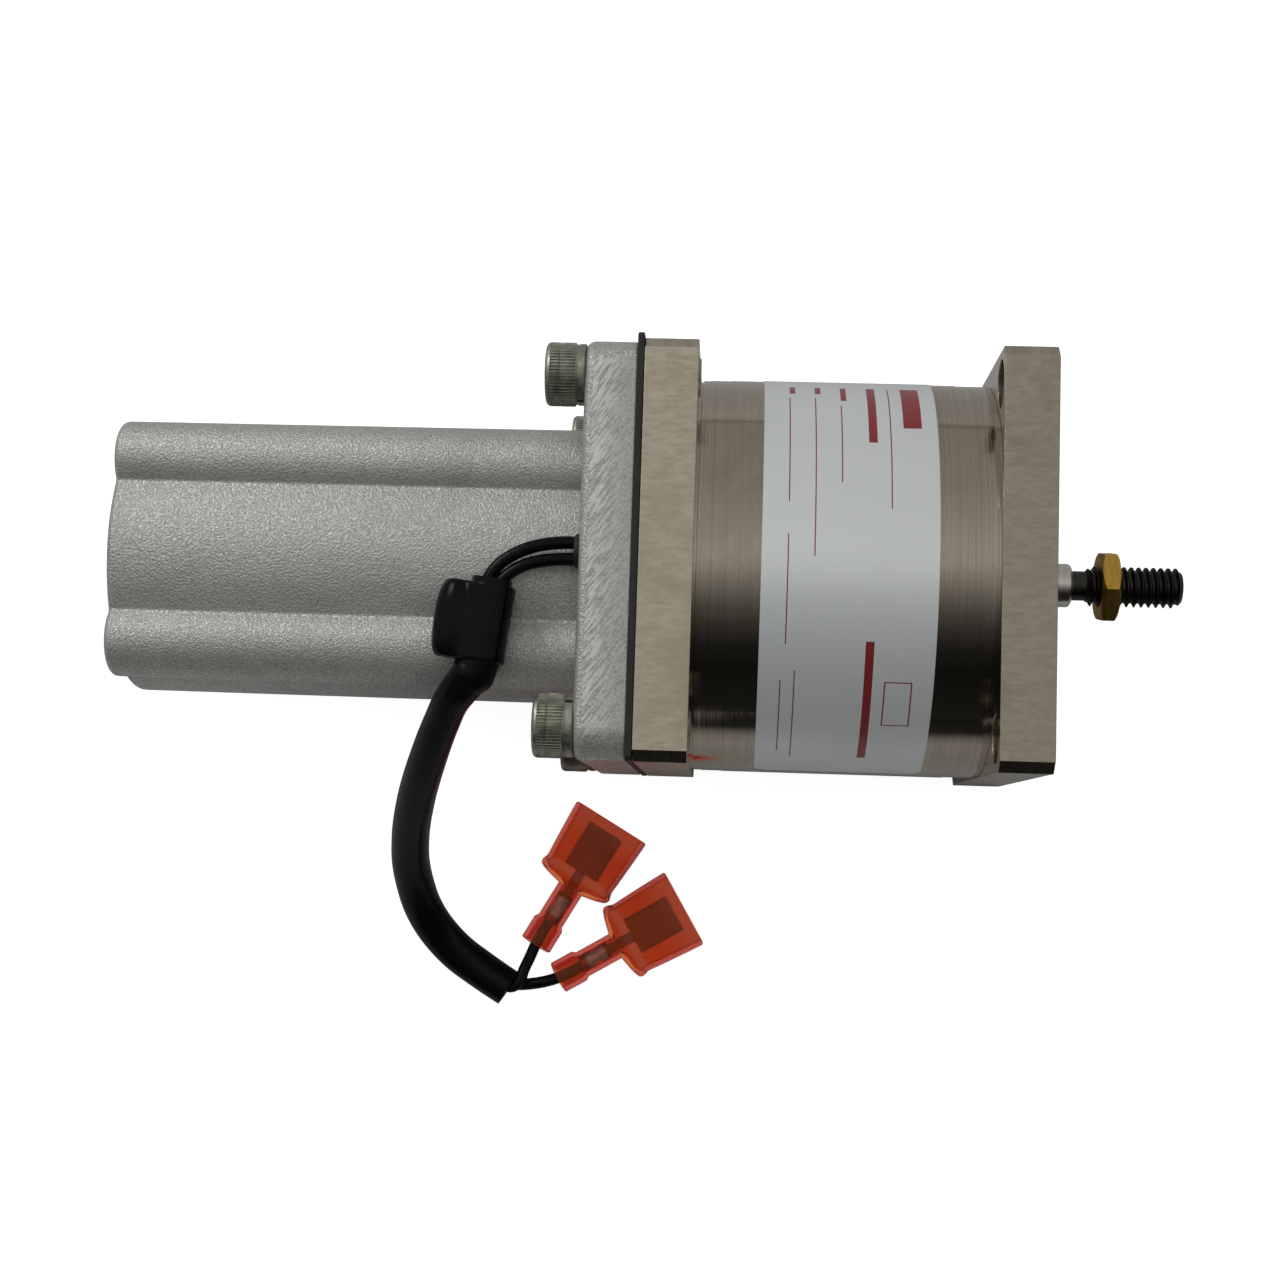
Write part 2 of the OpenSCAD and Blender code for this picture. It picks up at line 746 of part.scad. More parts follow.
// The clip around the sleeve, with its side lobe
module lead_clip() {
    along = sleeve_route[2] - sleeve_route[0];
    half = clip_len / 2;
    lobe_half = half - lobe_inset;
    color("#0b0b0b")
        translate(sleeve_route[1])
            rotate([0, 0, atan2(along[1], along[0])])
                difference() {
                    union() {
                        x_rod(-half, half, clip_d);
                        translate([0, -lobe_side, 0])
                            x_rod(-lobe_half, lobe_half, lobe_d);
                        translate([-lobe_half, -lobe_side, -web_t / 2])
                            cube([2 * lobe_half, lobe_side, web_t]);
                    }
                    x_rod(-half - over, half + over, sleeve_d + 2 * slip_fit);
                }
}

// A connector's place on the table
module on_table(c) {
    translate([c[0], c[1], connector_z])
        rotate([0, 0, c[2]])
            children();
}

// One insulator: funnel, barrel, shoulder with wings and open hood
module insulator() {
    inner_w = hood_w - 2 * insulator_wall;
    inner_base_w = hood_base_w - 2 * insulator_wall;
    inner_t = hood_t - 2 * insulator_wall;
    inner_r = hood_r - insulator_wall;
    difference() {
        union() {
            x_rod(0, funnel_len, funnel_d);
            x_rod(0, barrel_len, barrel_d);
            hull() {
                x_rod(barrel_len - over, barrel_len, barrel_d, $fn = 32);
                x_slab(x_wing, x_hood, wing_w, hood_t, hood_r);
            }
            hull() {
                x_slab(x_hood - over, x_hood, hood_base_w, hood_t, hood_r);
                x_slab(insulator_len - over, insulator_len, hood_w, hood_t, hood_r);
            }
        }
        x_rod(-over, funnel_len - insulator_wall, funnel_d - 2 * insulator_wall);
        x_rod(-over, x_hood, crimp_d + 2 * slip_fit);
        hull() {
            x_rod(barrel_len, barrel_len + over, crimp_d, $fn = 32);
            x_slab(x_hood, x_hood + over, inner_base_w, inner_t, inner_r);
        }
        hull() {
            x_slab(x_hood, x_hood + over, inner_base_w, inner_t, inner_r);
            x_slab(insulator_len, insulator_len + over, inner_w, inner_t, inner_r);
        }
    }
}

// One terminal: crimped barrel, web and open receptacle
module terminal() {
    x_web = funnel_len + crimp_len;
    x_box = x_hood + receptacle_set;
    slot_w = receptacle_w - 2 * sheet_t;
    slot_t = receptacle_t - 2 * sheet_t;
    web_w = crimp_d - 2 * sheet_t;
    x_ring(funnel_len, x_web, crimp_d, lead_d + 2 * slip_fit);
    translate([x_web - over, -web_w / 2, -receptacle_t / 2])
        cube([x_box - x_web + 2 * over, web_w, sheet_t]);
    difference() {
        translate([x_box, -receptacle_w / 2, -receptacle_t / 2])
            cube([receptacle_len, receptacle_w, receptacle_t]);
        translate([x_box - over, -slot_w / 2, -slot_t / 2])
            cube([receptacle_len + 2 * over, slot_w, slot_t]);
    }
}

module insulator_a() {
    color("#d9512f")
        on_table(connector_a)
            insulator();
}

module insulator_b() {
    color("#d9512f")
        on_table(connector_b)
            insulator();
}

module terminal_a() {
    color("#b9b2a6")
        on_table(connector_a)
            terminal();
}

module terminal_b() {
    color("#b9b2a6")
        on_table(connector_b)
            terminal();
}

// The steel plunger, fixed on the shaft
module plunger() {
    color("#8f9296")
        x_ring(x_plunger_front - plunger_len, x_plunger_front, plunger_d, shaft_d + 2 * slip_fit);
}

// The shaft, from the retainer nut to the tapped front end
module output_shaft() {
    color("#c6c8ca")
        difference() {
            x_pin(x_shaft_rear, shaft_reach, shaft_d, shaft_chamfer, shaft_chamfer);
            x_rod(shaft_reach - tail_len - over, shaft_reach + over, neck_d + 2 * thread_fit);
        }
}

// The stud: tail in the shaft, bare neck and threaded end
module threaded_stud() {
    color("#26241f")
        union() {
            x_rod(shaft_reach - tail_len, x_thread + over, neck_d);
            x_pin(x_thread, x_nut - slip_fit, stud_d, thread_chamfer, 0);
            x_rod(x_nut - over, x_nut + nut_t + over, pitch_d);
            x_pin(x_nut + nut_t + slip_fit, x_stud_end, stud_d, 0, thread_chamfer);
        }
}

// The brass jam nut, chamfered on both faces
module jam_nut() {
    corner_d = nut_af / cos(30);
    bevel = (corner_d - nut_af) / 2;
    color("#c9a44e")
        difference() {
            intersection() {
                translate([x_nut, 0, 0])
                    rotate([0, 90, 0])
                        rotate([0, 0, nut_turn])
                            cylinder(h = nut_t, d = corner_d, $fn = 6);
                translate([x_nut, 0, 0])
                    rotate([0, 90, 0])
                        rotate_extrude()
                            polygon([
                                [0, 0], [nut_af / 2, 0], [corner_d / 2, bevel * tan(30)],
                                [corner_d / 2, nut_t - bevel * tan(30)], [nut_af / 2, nut_t], [0, nut_t]
                            ]);
            }
            x_rod(x_nut - over, x_nut + nut_t + over, pitch_d + 2 * thread_fit);
        }
}

// The disc and hub that carry the moving end of the spring
module spring_retainer() {
    color("#8e9093")
        difference() {
            union() {
                x_rod(x_retainer_rear, x_retainer, retainer_d);
                x_rod(x_retainer_rear, x_retainer + hub_len, hub_d);
            }
            x_rod(x_retainer_rear - over, x_retainer + hub_len + over, shaft_d + 2 * slip_fit);
        }
}

// The nut that holds the retainer on the shaft
module retainer_nut() {
    color("#8e9093")
        difference() {
            translate([x_retainer_rear - retainer_nut_t, 0, 0])
                rotate([0, 90, 0])
                    cylinder(h = retainer_nut_t, d = retainer_nut_af / cos(30), $fn = 6);
            x_rod(x_retainer_rear - retainer_nut_t - over, x_retainer_rear + over,
                  shaft_d + 2 * thread_fit);
        }
}

solenoid_case();
spring_cover();
cover_gasket();
cover_screws();
lock_washers();
nameplate();
coil_bobbin();
coil_winding();
coil_wrap();
guide_tube();
rear_flux_plate();
pole_piece();
stop_shim();
front_bushing();
wiper_seal();
spring_seat();
return_spring();
rest_bumper();
lead_grommet();
lead_wire_a();
lead_wire_b();
lead_sleeve();
lead_clip();
insulator_a();
insulator_b();
terminal_a();
terminal_b();
plunger();
output_shaft();
threaded_stud();
jam_nut();
spring_retainer();
retainer_nut();
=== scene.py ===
"""Dressed engine governor actuator: pieces, finishes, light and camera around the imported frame."""
import math

import bmesh
import bpy
from mathutils import Matrix, Vector


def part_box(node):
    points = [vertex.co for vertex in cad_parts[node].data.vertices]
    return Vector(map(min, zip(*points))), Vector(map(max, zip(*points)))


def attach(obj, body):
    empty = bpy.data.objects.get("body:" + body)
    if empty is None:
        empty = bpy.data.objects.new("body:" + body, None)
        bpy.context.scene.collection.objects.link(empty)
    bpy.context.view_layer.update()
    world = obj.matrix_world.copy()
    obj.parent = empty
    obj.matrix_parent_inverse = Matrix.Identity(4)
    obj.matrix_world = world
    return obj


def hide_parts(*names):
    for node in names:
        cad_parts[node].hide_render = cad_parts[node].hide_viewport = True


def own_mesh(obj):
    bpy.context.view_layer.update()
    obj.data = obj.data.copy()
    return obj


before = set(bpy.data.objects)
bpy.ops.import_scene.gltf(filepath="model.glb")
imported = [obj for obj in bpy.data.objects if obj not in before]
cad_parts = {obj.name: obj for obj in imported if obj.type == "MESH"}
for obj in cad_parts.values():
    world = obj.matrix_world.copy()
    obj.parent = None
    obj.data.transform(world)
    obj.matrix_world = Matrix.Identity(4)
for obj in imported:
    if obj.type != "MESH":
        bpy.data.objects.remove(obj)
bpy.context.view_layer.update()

TAU = 2 * math.pi
X_AXIS = (1.0, 0.0, 0.0)
DOUBLE = 1e-7
SAME_PLACE = 1e-6

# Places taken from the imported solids, in metres
case_low, case_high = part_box("solenoid_case")
cover_low, cover_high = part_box("spring_cover")
gasket_low, gasket_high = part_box("cover_gasket")
screw_low, screw_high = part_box("cover_screws")
washer_low, washer_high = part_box("lock_washers")
plate_low, plate_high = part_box("nameplate")
shaft_low, shaft_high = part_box("output_shaft")
stud_low, stud_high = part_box("threaded_stud")
nut_low, nut_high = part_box("jam_nut")
grommet_low, grommet_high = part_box("lead_grommet")
spring_low, spring_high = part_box("return_spring")

X_FRONT = case_high.x
X_REAR = case_low.x
X_COVER_FACE = cover_high.x
X_COVER_REAR = washer_high.x
X_COVER_END = cover_low.x
FLANGE_SIDE = case_high.y - case_low.y
FLANGE_T = 0.0098
FLANGE_CHAMFER = 0.002
FACE_EDGE = 0.0003
INNER_EDGE = 0.0002
MOUNT_EDGE = 0.00025
DEEPEST_CUT = 0.0008
BODY_R = FLANGE_SIDE / 2 - 0.0002
CASE_BORE_R = 0.033
FRONT_BORE_R = 0.009
MOUNT_R = 0.0044
TAPPED_R = 0.004
BOLT_AT = 0.032
BOLTS = [(sy * BOLT_AT, sz * BOLT_AT) for sy in (1, -1) for sz in (1, -1)]

COVER_SIDE = cover_high.y - cover_low.y
COVER_CORNER_R = 0.006
COVER_EDGE_R = 0.0016
CORE_R = 0.0258
COLUMN_R = 0.0074
COLUMN_OFFSET = 0.0172
CREASE_R = 0.0008
BASE_FILLET = 0.0007
DRAFT = 0.0003
END_ROUND = 0.0015
CAVITY_R = 0.022
END_WALL = 0.005
COVER_HOLE_R = 0.00415

LEAD_Y = (grommet_low.y + grommet_high.y) / 2
LEAD_Z = (grommet_low.z + grommet_high.z) / 2
GROMMET_R = (grommet_high.y - grommet_low.y) / 2
LEAD_D = 0.0024
LEAD_PITCH = 0.003
LEAD_SIDE = 0.00123
LEAD_LEAN = 0.00042
SLEEVE_D = 0.0074
SLEEVE_WALL = 0.0008
SLEEVE_SIDES = 28
CONNECTOR_Z = -0.0346
X_WINDING_REAR = -0.066
INTO_CRIMP = 0.0112
TABLE_Z = -0.0381

# Routes of the leads and their sleeve
SLEEVE_ROUTE = [
    (-0.1006, -0.0056, LEAD_Z), (-0.10162, -0.0137, LEAD_Z), (-0.10258, -0.02135, LEAD_Z),
    (-0.10487, -0.0242, 0.0284), (-0.10782, -0.02745, 0.0249), (-0.10996, -0.03091, 0.0206),
    (-0.11388, -0.03801, 0.0108), (-0.11747, -0.04542, -0.0006), (-0.12003, -0.05321, -0.0124),
    (-0.12064, -0.05765, -0.0184), (-0.12035, -0.06195, -0.0234), (-0.11925, -0.06651, -0.0276),
    (-0.11741, -0.07024, -0.0304), (-0.11482, -0.07364, -0.0324), (-0.11162, -0.07669, -0.0336),
    (-0.10813, -0.07914, -0.0342), (-0.10474, -0.0813, -0.0342), (-0.10145, -0.08329, -0.0342),
]
GATHERED = len(SLEEVE_ROUTE) - 4
START_A = [
    (-0.0886, -0.00162, LEAD_Z), (-0.0918, -0.002, LEAD_Z),
    (-0.0945, -0.0027, LEAD_Z), (-0.0968, -0.0039, LEAD_Z),
]
START_B = [
    (-0.0886, 0.0014, LEAD_Z), (-0.0918, 0.00095, LEAD_Z), (-0.0946, 0.00015, LEAD_Z),
    (-0.0973, -0.00115, LEAD_Z), (-0.0996, -0.0029, LEAD_Z),
]
END_A = [
    (-0.11086, -0.07576, -0.0326), (-0.10779, -0.07864, -0.033), (-0.10416, -0.0818, -0.03295),
    (-0.1023, -0.08265, -0.03295), (-0.10045, -0.08285, -0.0329), (-0.09905, -0.08165, -0.03285),
    (-0.0983, -0.0794, -0.03335), (-0.09721, -0.07674, -0.0342),
]
END_B = [
    (-0.112, -0.07715, -0.03465), (-0.10799, -0.07894, -0.03545), (-0.10427, -0.08053, -0.03545),
    (-0.10201, -0.08207, -0.03545), (-0.10062, -0.08251, -0.0354), (-0.09913, -0.08253, -0.0352),
    (-0.09737, -0.08235, -0.03495), (-0.09547, -0.08204, -0.03475), (-0.09348, -0.08157, -0.0346),
]
CONNECTOR_A = (-0.09615, -0.0741, math.radians(59.8))
CONNECTOR_B = (-0.09116, -0.0808, math.radians(30.7))


def add_object(name, data):
    made = bpy.data.objects.new(name, data)
    bpy.context.scene.collection.objects.link(made)
    return made


# Camera at the photograph's angle
def place_camera():
    data = bpy.data.cameras.new("photo_camera")
    data.lens = 57.68
    data.sensor_width = 36.0
    data.clip_start = 0.01
    camera = add_object("photo_camera", data)
    turn = (
        Matrix.Rotation(math.radians(5.725), 4, "X")
        @ Matrix.Rotation(math.radians(2.587), 4, "Y")
        @ Matrix.Rotation(math.radians(1.620), 4, "Z")
    )
    camera.matrix_world = Matrix.Translation((-0.05676, -0.05280, 0.39759)) @ turn
    bpy.context.scene.camera = camera


# Short calls for node trees
def plug(tree, socket, value):
    if isinstance(value, bpy.types.NodeSocket):
        tree.links.new(value, socket)
    else:
        socket.default_value = value


def node(tree, kind, inputs=None, **settings):
    made = tree.nodes.new(kind)
    for name, value in settings.items():
        setattr(made, name, value)
    for name, value in (inputs or {}).items():
        plug(tree, made.inputs[name], value)
    return made


def calc(tree, operation, first, second=0.0, third=0.0):
    made = node(tree, "ShaderNodeMath", {0: first, 1: second, 2: third}, operation=operation)
    return made.outputs[0]


def vector_calc(tree, operation, first, second=(0.0, 0.0, 0.0)):
    made = node(tree, "ShaderNodeVectorMath", {0: first, 1: second}, operation=operation)
    return made.outputs[0]


def axes_of(tree, vector):
    return node(tree, "ShaderNodeSeparateXYZ", {0: vector}).outputs


def mixed(tree, factor, first, second, blend="MIX"):
    made = node(tree, "ShaderNodeMix", {0: factor, 6: first, 7: second},
                data_type="RGBA", blend_type=blend)
    return made.outputs[2]


def spread(tree, value, low, high, to_low, to_high, smooth=True):
    made = node(tree, "ShaderNodeMapRange",
                {"Value": value, "From Min": low, "From Max": high, "To Min": to_low, "To Max": to_high},
                interpolation_type="SMOOTHSTEP" if smooth else "LINEAR")
    return made.outputs[0]


def noise(tree, vector, scale, detail=2.0, roughness=0.5, distortion=0.0):
    made = node(tree, "ShaderNodeTexNoise",
                {"Vector": vector, "Scale": scale, "Detail": detail,
                 "Roughness": roughness, "Distortion": distortion})
    return made.outputs[0]


def bumped(tree, height, strength, distance, under=None):
    inputs = {"Height": height, "Strength": strength, "Distance": distance}
    if under is not None:
        inputs["Normal"] = under
    return node(tree, "ShaderNodeBump", inputs).outputs[0]


def object_coords(tree):
    return node(tree, "ShaderNodeTexCoord").outputs["Object"]


def new_finish(name, **sockets):
    finish = bpy.data.materials.new(name)
    finish.use_nodes = True
    tree = finish.node_tree
    shader = tree.nodes["Principled BSDF"]
    for key, value in sockets.items():
        shader.inputs[key.replace("_", " ")].default_value = value
    return finish, tree, shader


def dress(tree, shader, colour, rough, normal=None):
    plug(tree, shader.inputs["Base Color"], colour)
    plug(tree, shader.inputs["Roughness"], rough)
    if normal is not None:
        plug(tree, shader.inputs["Normal"], normal)


def new_group(name, **defaults):
    tree = bpy.data.node_groups.new(name, "ShaderNodeTree")
    tree.interface.new_socket(name="Vector", in_out="INPUT", socket_type="NodeSocketVector")
    for label, default in defaults.items():
        kind = "NodeSocketVector" if isinstance(default, tuple) else "NodeSocketFloat"
        made = tree.interface.new_socket(name=label, in_out="INPUT", socket_type=kind)
        made.default_value = default
    tree.interface.new_socket(name="Amount", in_out="OUTPUT", socket_type="NodeSocketFloat")
    return tree, tree.nodes.new("NodeGroupInput").outputs


def end_group(tree, value, low, high):
    end = tree.nodes.new("NodeGroupOutput")
    tree.links.new(spread(tree, value, low, high, 0.0, 1.0), end.inputs["Amount"])
    return tree


def group_of(tree, group, vector, **inputs):
    return node(tree, "ShaderNodeGroup", {"Vector": vector, **inputs}, node_tree=group).outputs[0]


# Effects that several finishes share
def make_grain_group():
    tree, given = new_group("fine_grain", Scale=1000.0, Spread=0.25)
    raw = noise(tree, given["Vector"], given["Scale"], 2.0, 0.6)
    low = calc(tree, "SUBTRACT", 0.5, given["Spread"])
    return end_group(tree, raw, low, calc(tree, "ADD", 0.5, given["Spread"]))


def make_stain_group():
    tree, given = new_group("handling_stain", Scale=40.0, Cover=0.5)
    raw = noise(tree, given["Vector"], given["Scale"], 5.0, 0.62, 0.8)
    low = calc(tree, "SUBTRACT", 0.72, calc(tree, "MULTIPLY", given["Cover"], 0.44))
    return end_group(tree, raw, low, calc(tree, "ADD", low, 0.16))


def make_lines_group():
    tree, given = new_group("tool_lines", Stretch=(1000.0, 20.0, 20.0), Depth=0.3)
    drawn = vector_calc(tree, "MULTIPLY", given["Vector"], given["Stretch"])
    raw = noise(tree, drawn, 1.0, 3.0, 0.6)
    low = calc(tree, "SUBTRACT", 0.5, given["Depth"])
    return end_group(tree, raw, low, calc(tree, "ADD", 0.5, given["Depth"]))


def make_bar_group():
    tree, given = new_group("printed_bar", Centre=(0.5, 0.5, 0.0), Half=(0.1, 0.1, 0.0))
    away = vector_calc(tree, "SUBTRACT", given["Vector"], given["Centre"])
    room = vector_calc(tree, "SUBTRACT", given["Half"], vector_calc(tree, "ABSOLUTE", away))
    parts = axes_of(tree, room)
    return end_group(tree, calc(tree, "MINIMUM", parts[0], parts[1]), 0.0, 0.00006)


# Rings, skins and fills
def arc(radius, start, end, steps, centre=(0.0, 0.0)):
    angles = [start + (end - start) * i / steps for i in range(steps + 1)]
    return [(centre[0] + radius * math.cos(a), centre[1] + radius * math.sin(a)) for a in angles]


def circle(radius, centre=(0.0, 0.0), count=96):
    return arc(radius, 0.0, TAU, count, centre)[:-1]


def rounded_rectangle(width, height, radius, steps, centre=(0.0, 0.0)):
    points = []
    for quarter, (sy, sz) in enumerate(((1, 1), (-1, 1), (-1, -1), (1, -1))):
        at = (centre[0] + sy * (width / 2 - radius), centre[1] + sz * (height / 2 - radius))
        points += arc(radius, quarter * TAU / 4, (quarter + 1) * TAU / 4, steps, at)
    return points


def quarter_round(x, y, dx, dy, steps):
    turns = [i * TAU / 4 / steps for i in range(steps + 1)]
    return [(x + dx * (1 - math.cos(t)), y + dy * (1 - math.sin(t))) for t in turns]


def closed_loop(bm, places):
    corners = [bm.verts.new(place) for place in places]
    return [bm.edges.new(pair) for pair in zip(corners, corners[1:] + corners[:1])]


def ring(bm, x, outline):
    return closed_loop(bm, [(x, y, z) for y, z in outline])


def fill(bm, *rings):
    bmesh.ops.triangle_fill(bm, use_beauty=True, edges=[edge for loop in rings for edge in loop])


def fill_ends(bm, *pairs):
    for rings in zip(*pairs):
        fill(bm, *rings)


def middle_of(loop):
    return sum((spot.co for edge in loop for spot in edge.verts), Vector()) / (2 * len(loop))


def skin(bm, rings):
    # two rings round one centre lie in one plane, where a bridge could cross over itself
    for near, far in zip(rings, rings[1:]):
        if (middle_of(near) - middle_of(far)).length < SAME_PLACE:
            fill(bm, near, far)
        else:
            bmesh.ops.bridge_loops(bm, edges=near + far)


def walls(bm, outline, levels):
    rings = [ring(bm, x, outline(size)) for x, size in levels]
    skin(bm, rings)
    return rings[0], rings[-1]


def round_walls(bm, levels, count, centre=(0.0, 0.0)):
    return walls(bm, lambda r: circle(r, centre, count), levels)


def eased(x0, x1, r0, r1, steps=3):
    side = 1 if x1 > x0 else -1
    first = quarter_round(x0, 0.0, side * r0, r0, steps)
    last = quarter_round(x1, 0.0, -side * r1, r1, steps)
    return first + last[::-1]


def hole(bm, centre, radius, x0, x1, ease, count=32):
    ends = eased(x0, x1, ease, ease, 2) if ease else [(x0, 0.0), (x1, 0.0)]
    return round_walls(bm, [(x, radius + size) for x, size in ends], count, centre)


def open_line(bm, profile):
    spots = [bm.verts.new((x, 0.0, r)) for x, r in profile]
    return spots + [bm.edges.new(pair) for pair in zip(spots, spots[1:])]


def turned(bm, profile, steps=64):
    line = open_line(bm, profile)
    bmesh.ops.spin(bm, geom=line, cent=(0, 0, 0), axis=X_AXIS, angle=TAU, steps=steps, use_merge=True)
    bmesh.ops.remove_doubles(bm, verts=bm.verts, dist=DOUBLE)


def close_up(bm):
    bmesh.ops.remove_doubles(bm, verts=bm.verts, dist=DOUBLE)
    bmesh.ops.recalc_face_normals(bm, faces=bm.faces)


def unwrap(bm, name, place):
    uv = bm.loops.layers.uv.new(name)
    for face in bm.faces:
        for corner in face.loops:
            corner[uv].uv = place(corner.vert.co)


def add_piece(name, bm, body, nodes, finishes, sharp=32.0):
    mesh = bpy.data.meshes.new(name)
    bm.to_mesh(mesh)
    bm.free()
    for finish in finishes:
        mesh.materials.append(finish)
    mesh.shade_smooth()
    mesh.set_sharp_from_angle(angle=math.radians(sharp))
    piece = add_object(name, mesh)
    weighted = piece.modifiers.new("even_shading", "WEIGHTED_NORMAL")
    weighted.keep_sharp = True
    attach(piece, body)
    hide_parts(*nodes)
    return piece


# Routes
def heading(route, i):
    return (route[min(i + 1, len(route) - 1)] - route[max(i - 1, 0)]).normalized()


def right_of(direction):
    return direction.cross(Vector((0, 0, 1))).normalized()


def beside(route, side):
    return [point + side * right_of(heading(route, i)) for i, point in enumerate(route)]


def smooth_route(points, spans=6):
    points = [Vector(p) for p in points]
    steps = [b - a for a, b in zip(points, points[1:])]
    ways = [steps[0].normalized()]
    for last, coming in zip(steps, steps[1:]):
        ways.append((last.normalized() * coming.length + coming.normalized() * last.length).normalized())
    ways.append(steps[-1].normalized())
    line = []
    for i, step in enumerate(steps):
        leave, arrive = ways[i] * step.length, ways[i + 1] * step.length
        for part in range(spans):
            t = part / spans
            along = 3 * t ** 2 - 2 * t ** 3
            bend = leave * (t - 2 * t ** 2 + t ** 3) + arrive * (t ** 3 - t ** 2)
            line.append(points[i] + step * along + bend)
    return line + [points[-1]]


def on_connector(connector, along):
    x, y, angle = connector
    return (x + along * math.cos(angle), y + along * math.sin(angle), CONNECTOR_Z)


def lead_route(side, start, end, connector):
    y = LEAD_Y + math.copysign(LEAD_PITCH / 2, side)
    inside = [(x, y, LEAD_Z) for x in (X_WINDING_REAR, X_COVER_FACE, X_COVER_REAR)]
    middle = beside([Vector(p) for p in SLEEVE_ROUTE], side)[:GATHERED]
    tail = [on_connector(connector, 0.0), on_connector(connector, INTO_CRIMP)]
    return smooth_route(inside + start + middle + end + tail, 4)


def make_lead(name, line, cad_node, finish):
    curve = bpy.data.curves.new(name, "CURVE")
    curve.dimensions = "3D"
    curve.bevel_depth = LEAD_D / 2
    curve.bevel_resolution = 4
    curve.use_fill_caps = True
    spline = curve.splines.new("POLY")
    spline.points.add(len(line) - 1)
    for spot, place in zip(spline.points, line):
        spot.co = (*place, 1.0)
    spline.use_smooth = True
    curve.materials.append(finish)
    lead = add_object(name, curve)
    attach(lead, "case")
    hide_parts(cad_node)
    return lead


def tube_rings(bm, line, radii, count):
    rings = []
    for i, point in enumerate(line):
        along = heading(line, i)
        across = right_of(along)
        upward = across.cross(along)
        wide, tall = radii(i / (len(line) - 1))
        section = circle(1.0, count=count)
        rings.append(closed_loop(bm, [point + wide * y * across + tall * z * upward for y, z in section]))
    return rings


def make_sleeve(line, finish):
    # gripped in the clip, flared where it comes out, flattened a little along the bend
    def outer(share):
        free = 1 / (1 + math.exp((0.128 - share) * 260))
        flare = 0.0005 * math.exp(-((share - 0.14) / 0.022) ** 2) * free
        narrow = 0.00035 * math.exp(-((share - 0.27) / 0.09) ** 2)
        swell = 0.0003 * math.exp(-((share - 0.8) / 0.3) ** 2)
        radius = SLEEVE_D / 2 + flare - narrow
        return radius + swell, radius - 0.3 * swell

    def inner(share):
        wide, tall = outer(share)
        return wide - SLEEVE_WALL, tall - SLEEVE_WALL

    bm = bmesh.new()
    outside = tube_rings(bm, line, outer, SLEEVE_SIDES)
    inside = tube_rings(bm, line, inner, SLEEVE_SIDES)
    skin(bm, outside)
    skin(bm, inside)
    for end in (0, -1):
        fill(bm, outside[end], inside[end])
    close_up(bm)
    return add_piece("sleeve_tube", bm, "case", ["lead_sleeve"], [finish])


# The steel case: two square flanges on a turned body
def flange_outline(inset):
    side = FLANGE_SIDE - 2 * inset
    return rounded_rectangle(side, side, FLANGE_CHAMFER, 1)


def make_case(flat_finish, turned_finish, bevel_finish):
    bm = bmesh.new()
    x_inner_front = X_FRONT - FLANGE_T
    x_inner_rear = X_REAR + FLANGE_T
    front = walls(bm, flange_outline, eased(X_FRONT, x_inner_front, FACE_EDGE, INNER_EDGE))
    rear = walls(bm, flange_outline, eased(X_REAR, x_inner_rear, FACE_EDGE, INNER_EDGE))
    mounts = [hole(bm, bolt, MOUNT_R, X_FRONT, x_inner_front, MOUNT_EDGE) for bolt in BOLTS]
    tapped = [hole(bm, bolt, TAPPED_R, X_REAR, x_inner_rear, INNER_EDGE) for bolt in BOLTS]
    # reliefs beside the flanges and shallow lathe cuts between them, as depths below the body
    cuts = [
        (x_inner_front, 0.0004), (x_inner_front - 0.0006, 0.0004), (x_inner_front - 0.0007, 0.0001),
        (-0.0156, 0.0001), (-0.0158, 0.0), (-0.0582, 0.0), (-0.0583, 0.00006), (-0.0622, 0.00006),
        (-0.0623, 0.00012), (x_inner_rear + 0.0006, 0.00012), (x_inner_rear + 0.0005, 0.0004),
        (x_inner_rear, 0.0004),
    ]
    body = round_walls(bm, [(x, BODY_R - depth) for x, depth in cuts], 160)
    bore_levels = [
        (X_REAR, CASE_BORE_R + 0.0003), (X_REAR + 0.0003, CASE_BORE_R), (x_inner_front, CASE_BORE_R),
        (x_inner_front, FRONT_BORE_R), (X_FRONT - 0.0006, FRONT_BORE_R), (X_FRONT, FRONT_BORE_R + 0.0006),
    ]
    bore = round_walls(bm, bore_levels, 96)
    fill(bm, front[0], bore[1], *[m[0] for m in mounts])
    fill(bm, front[1], body[0], *[m[1] for m in mounts])
    fill(bm, rear[1], body[1], *[t[1] for t in tapped])
    fill(bm, rear[0], bore[0], *[t[0] for t in tapped])
    close_up(bm)
    for face in bm.faces:
        middle = face.calc_center_median()
        outside = math.hypot(middle.y, middle.z) > BODY_R - DEEPEST_CUT
        if outside and x_inner_rear < middle.x < x_inner_front:
            face.material_index = 1
        at_corner = min(abs(middle.y), abs(middle.z)) > FLANGE_SIDE / 2 - FLANGE_CHAMFER
        if at_corner and abs(face.normal.x) < 0.5:
            face.material_index = 2
    return add_piece("case_shell", bm, "case", ["solenoid_case"],
                     [flat_finish, turned_finish, bevel_finish])


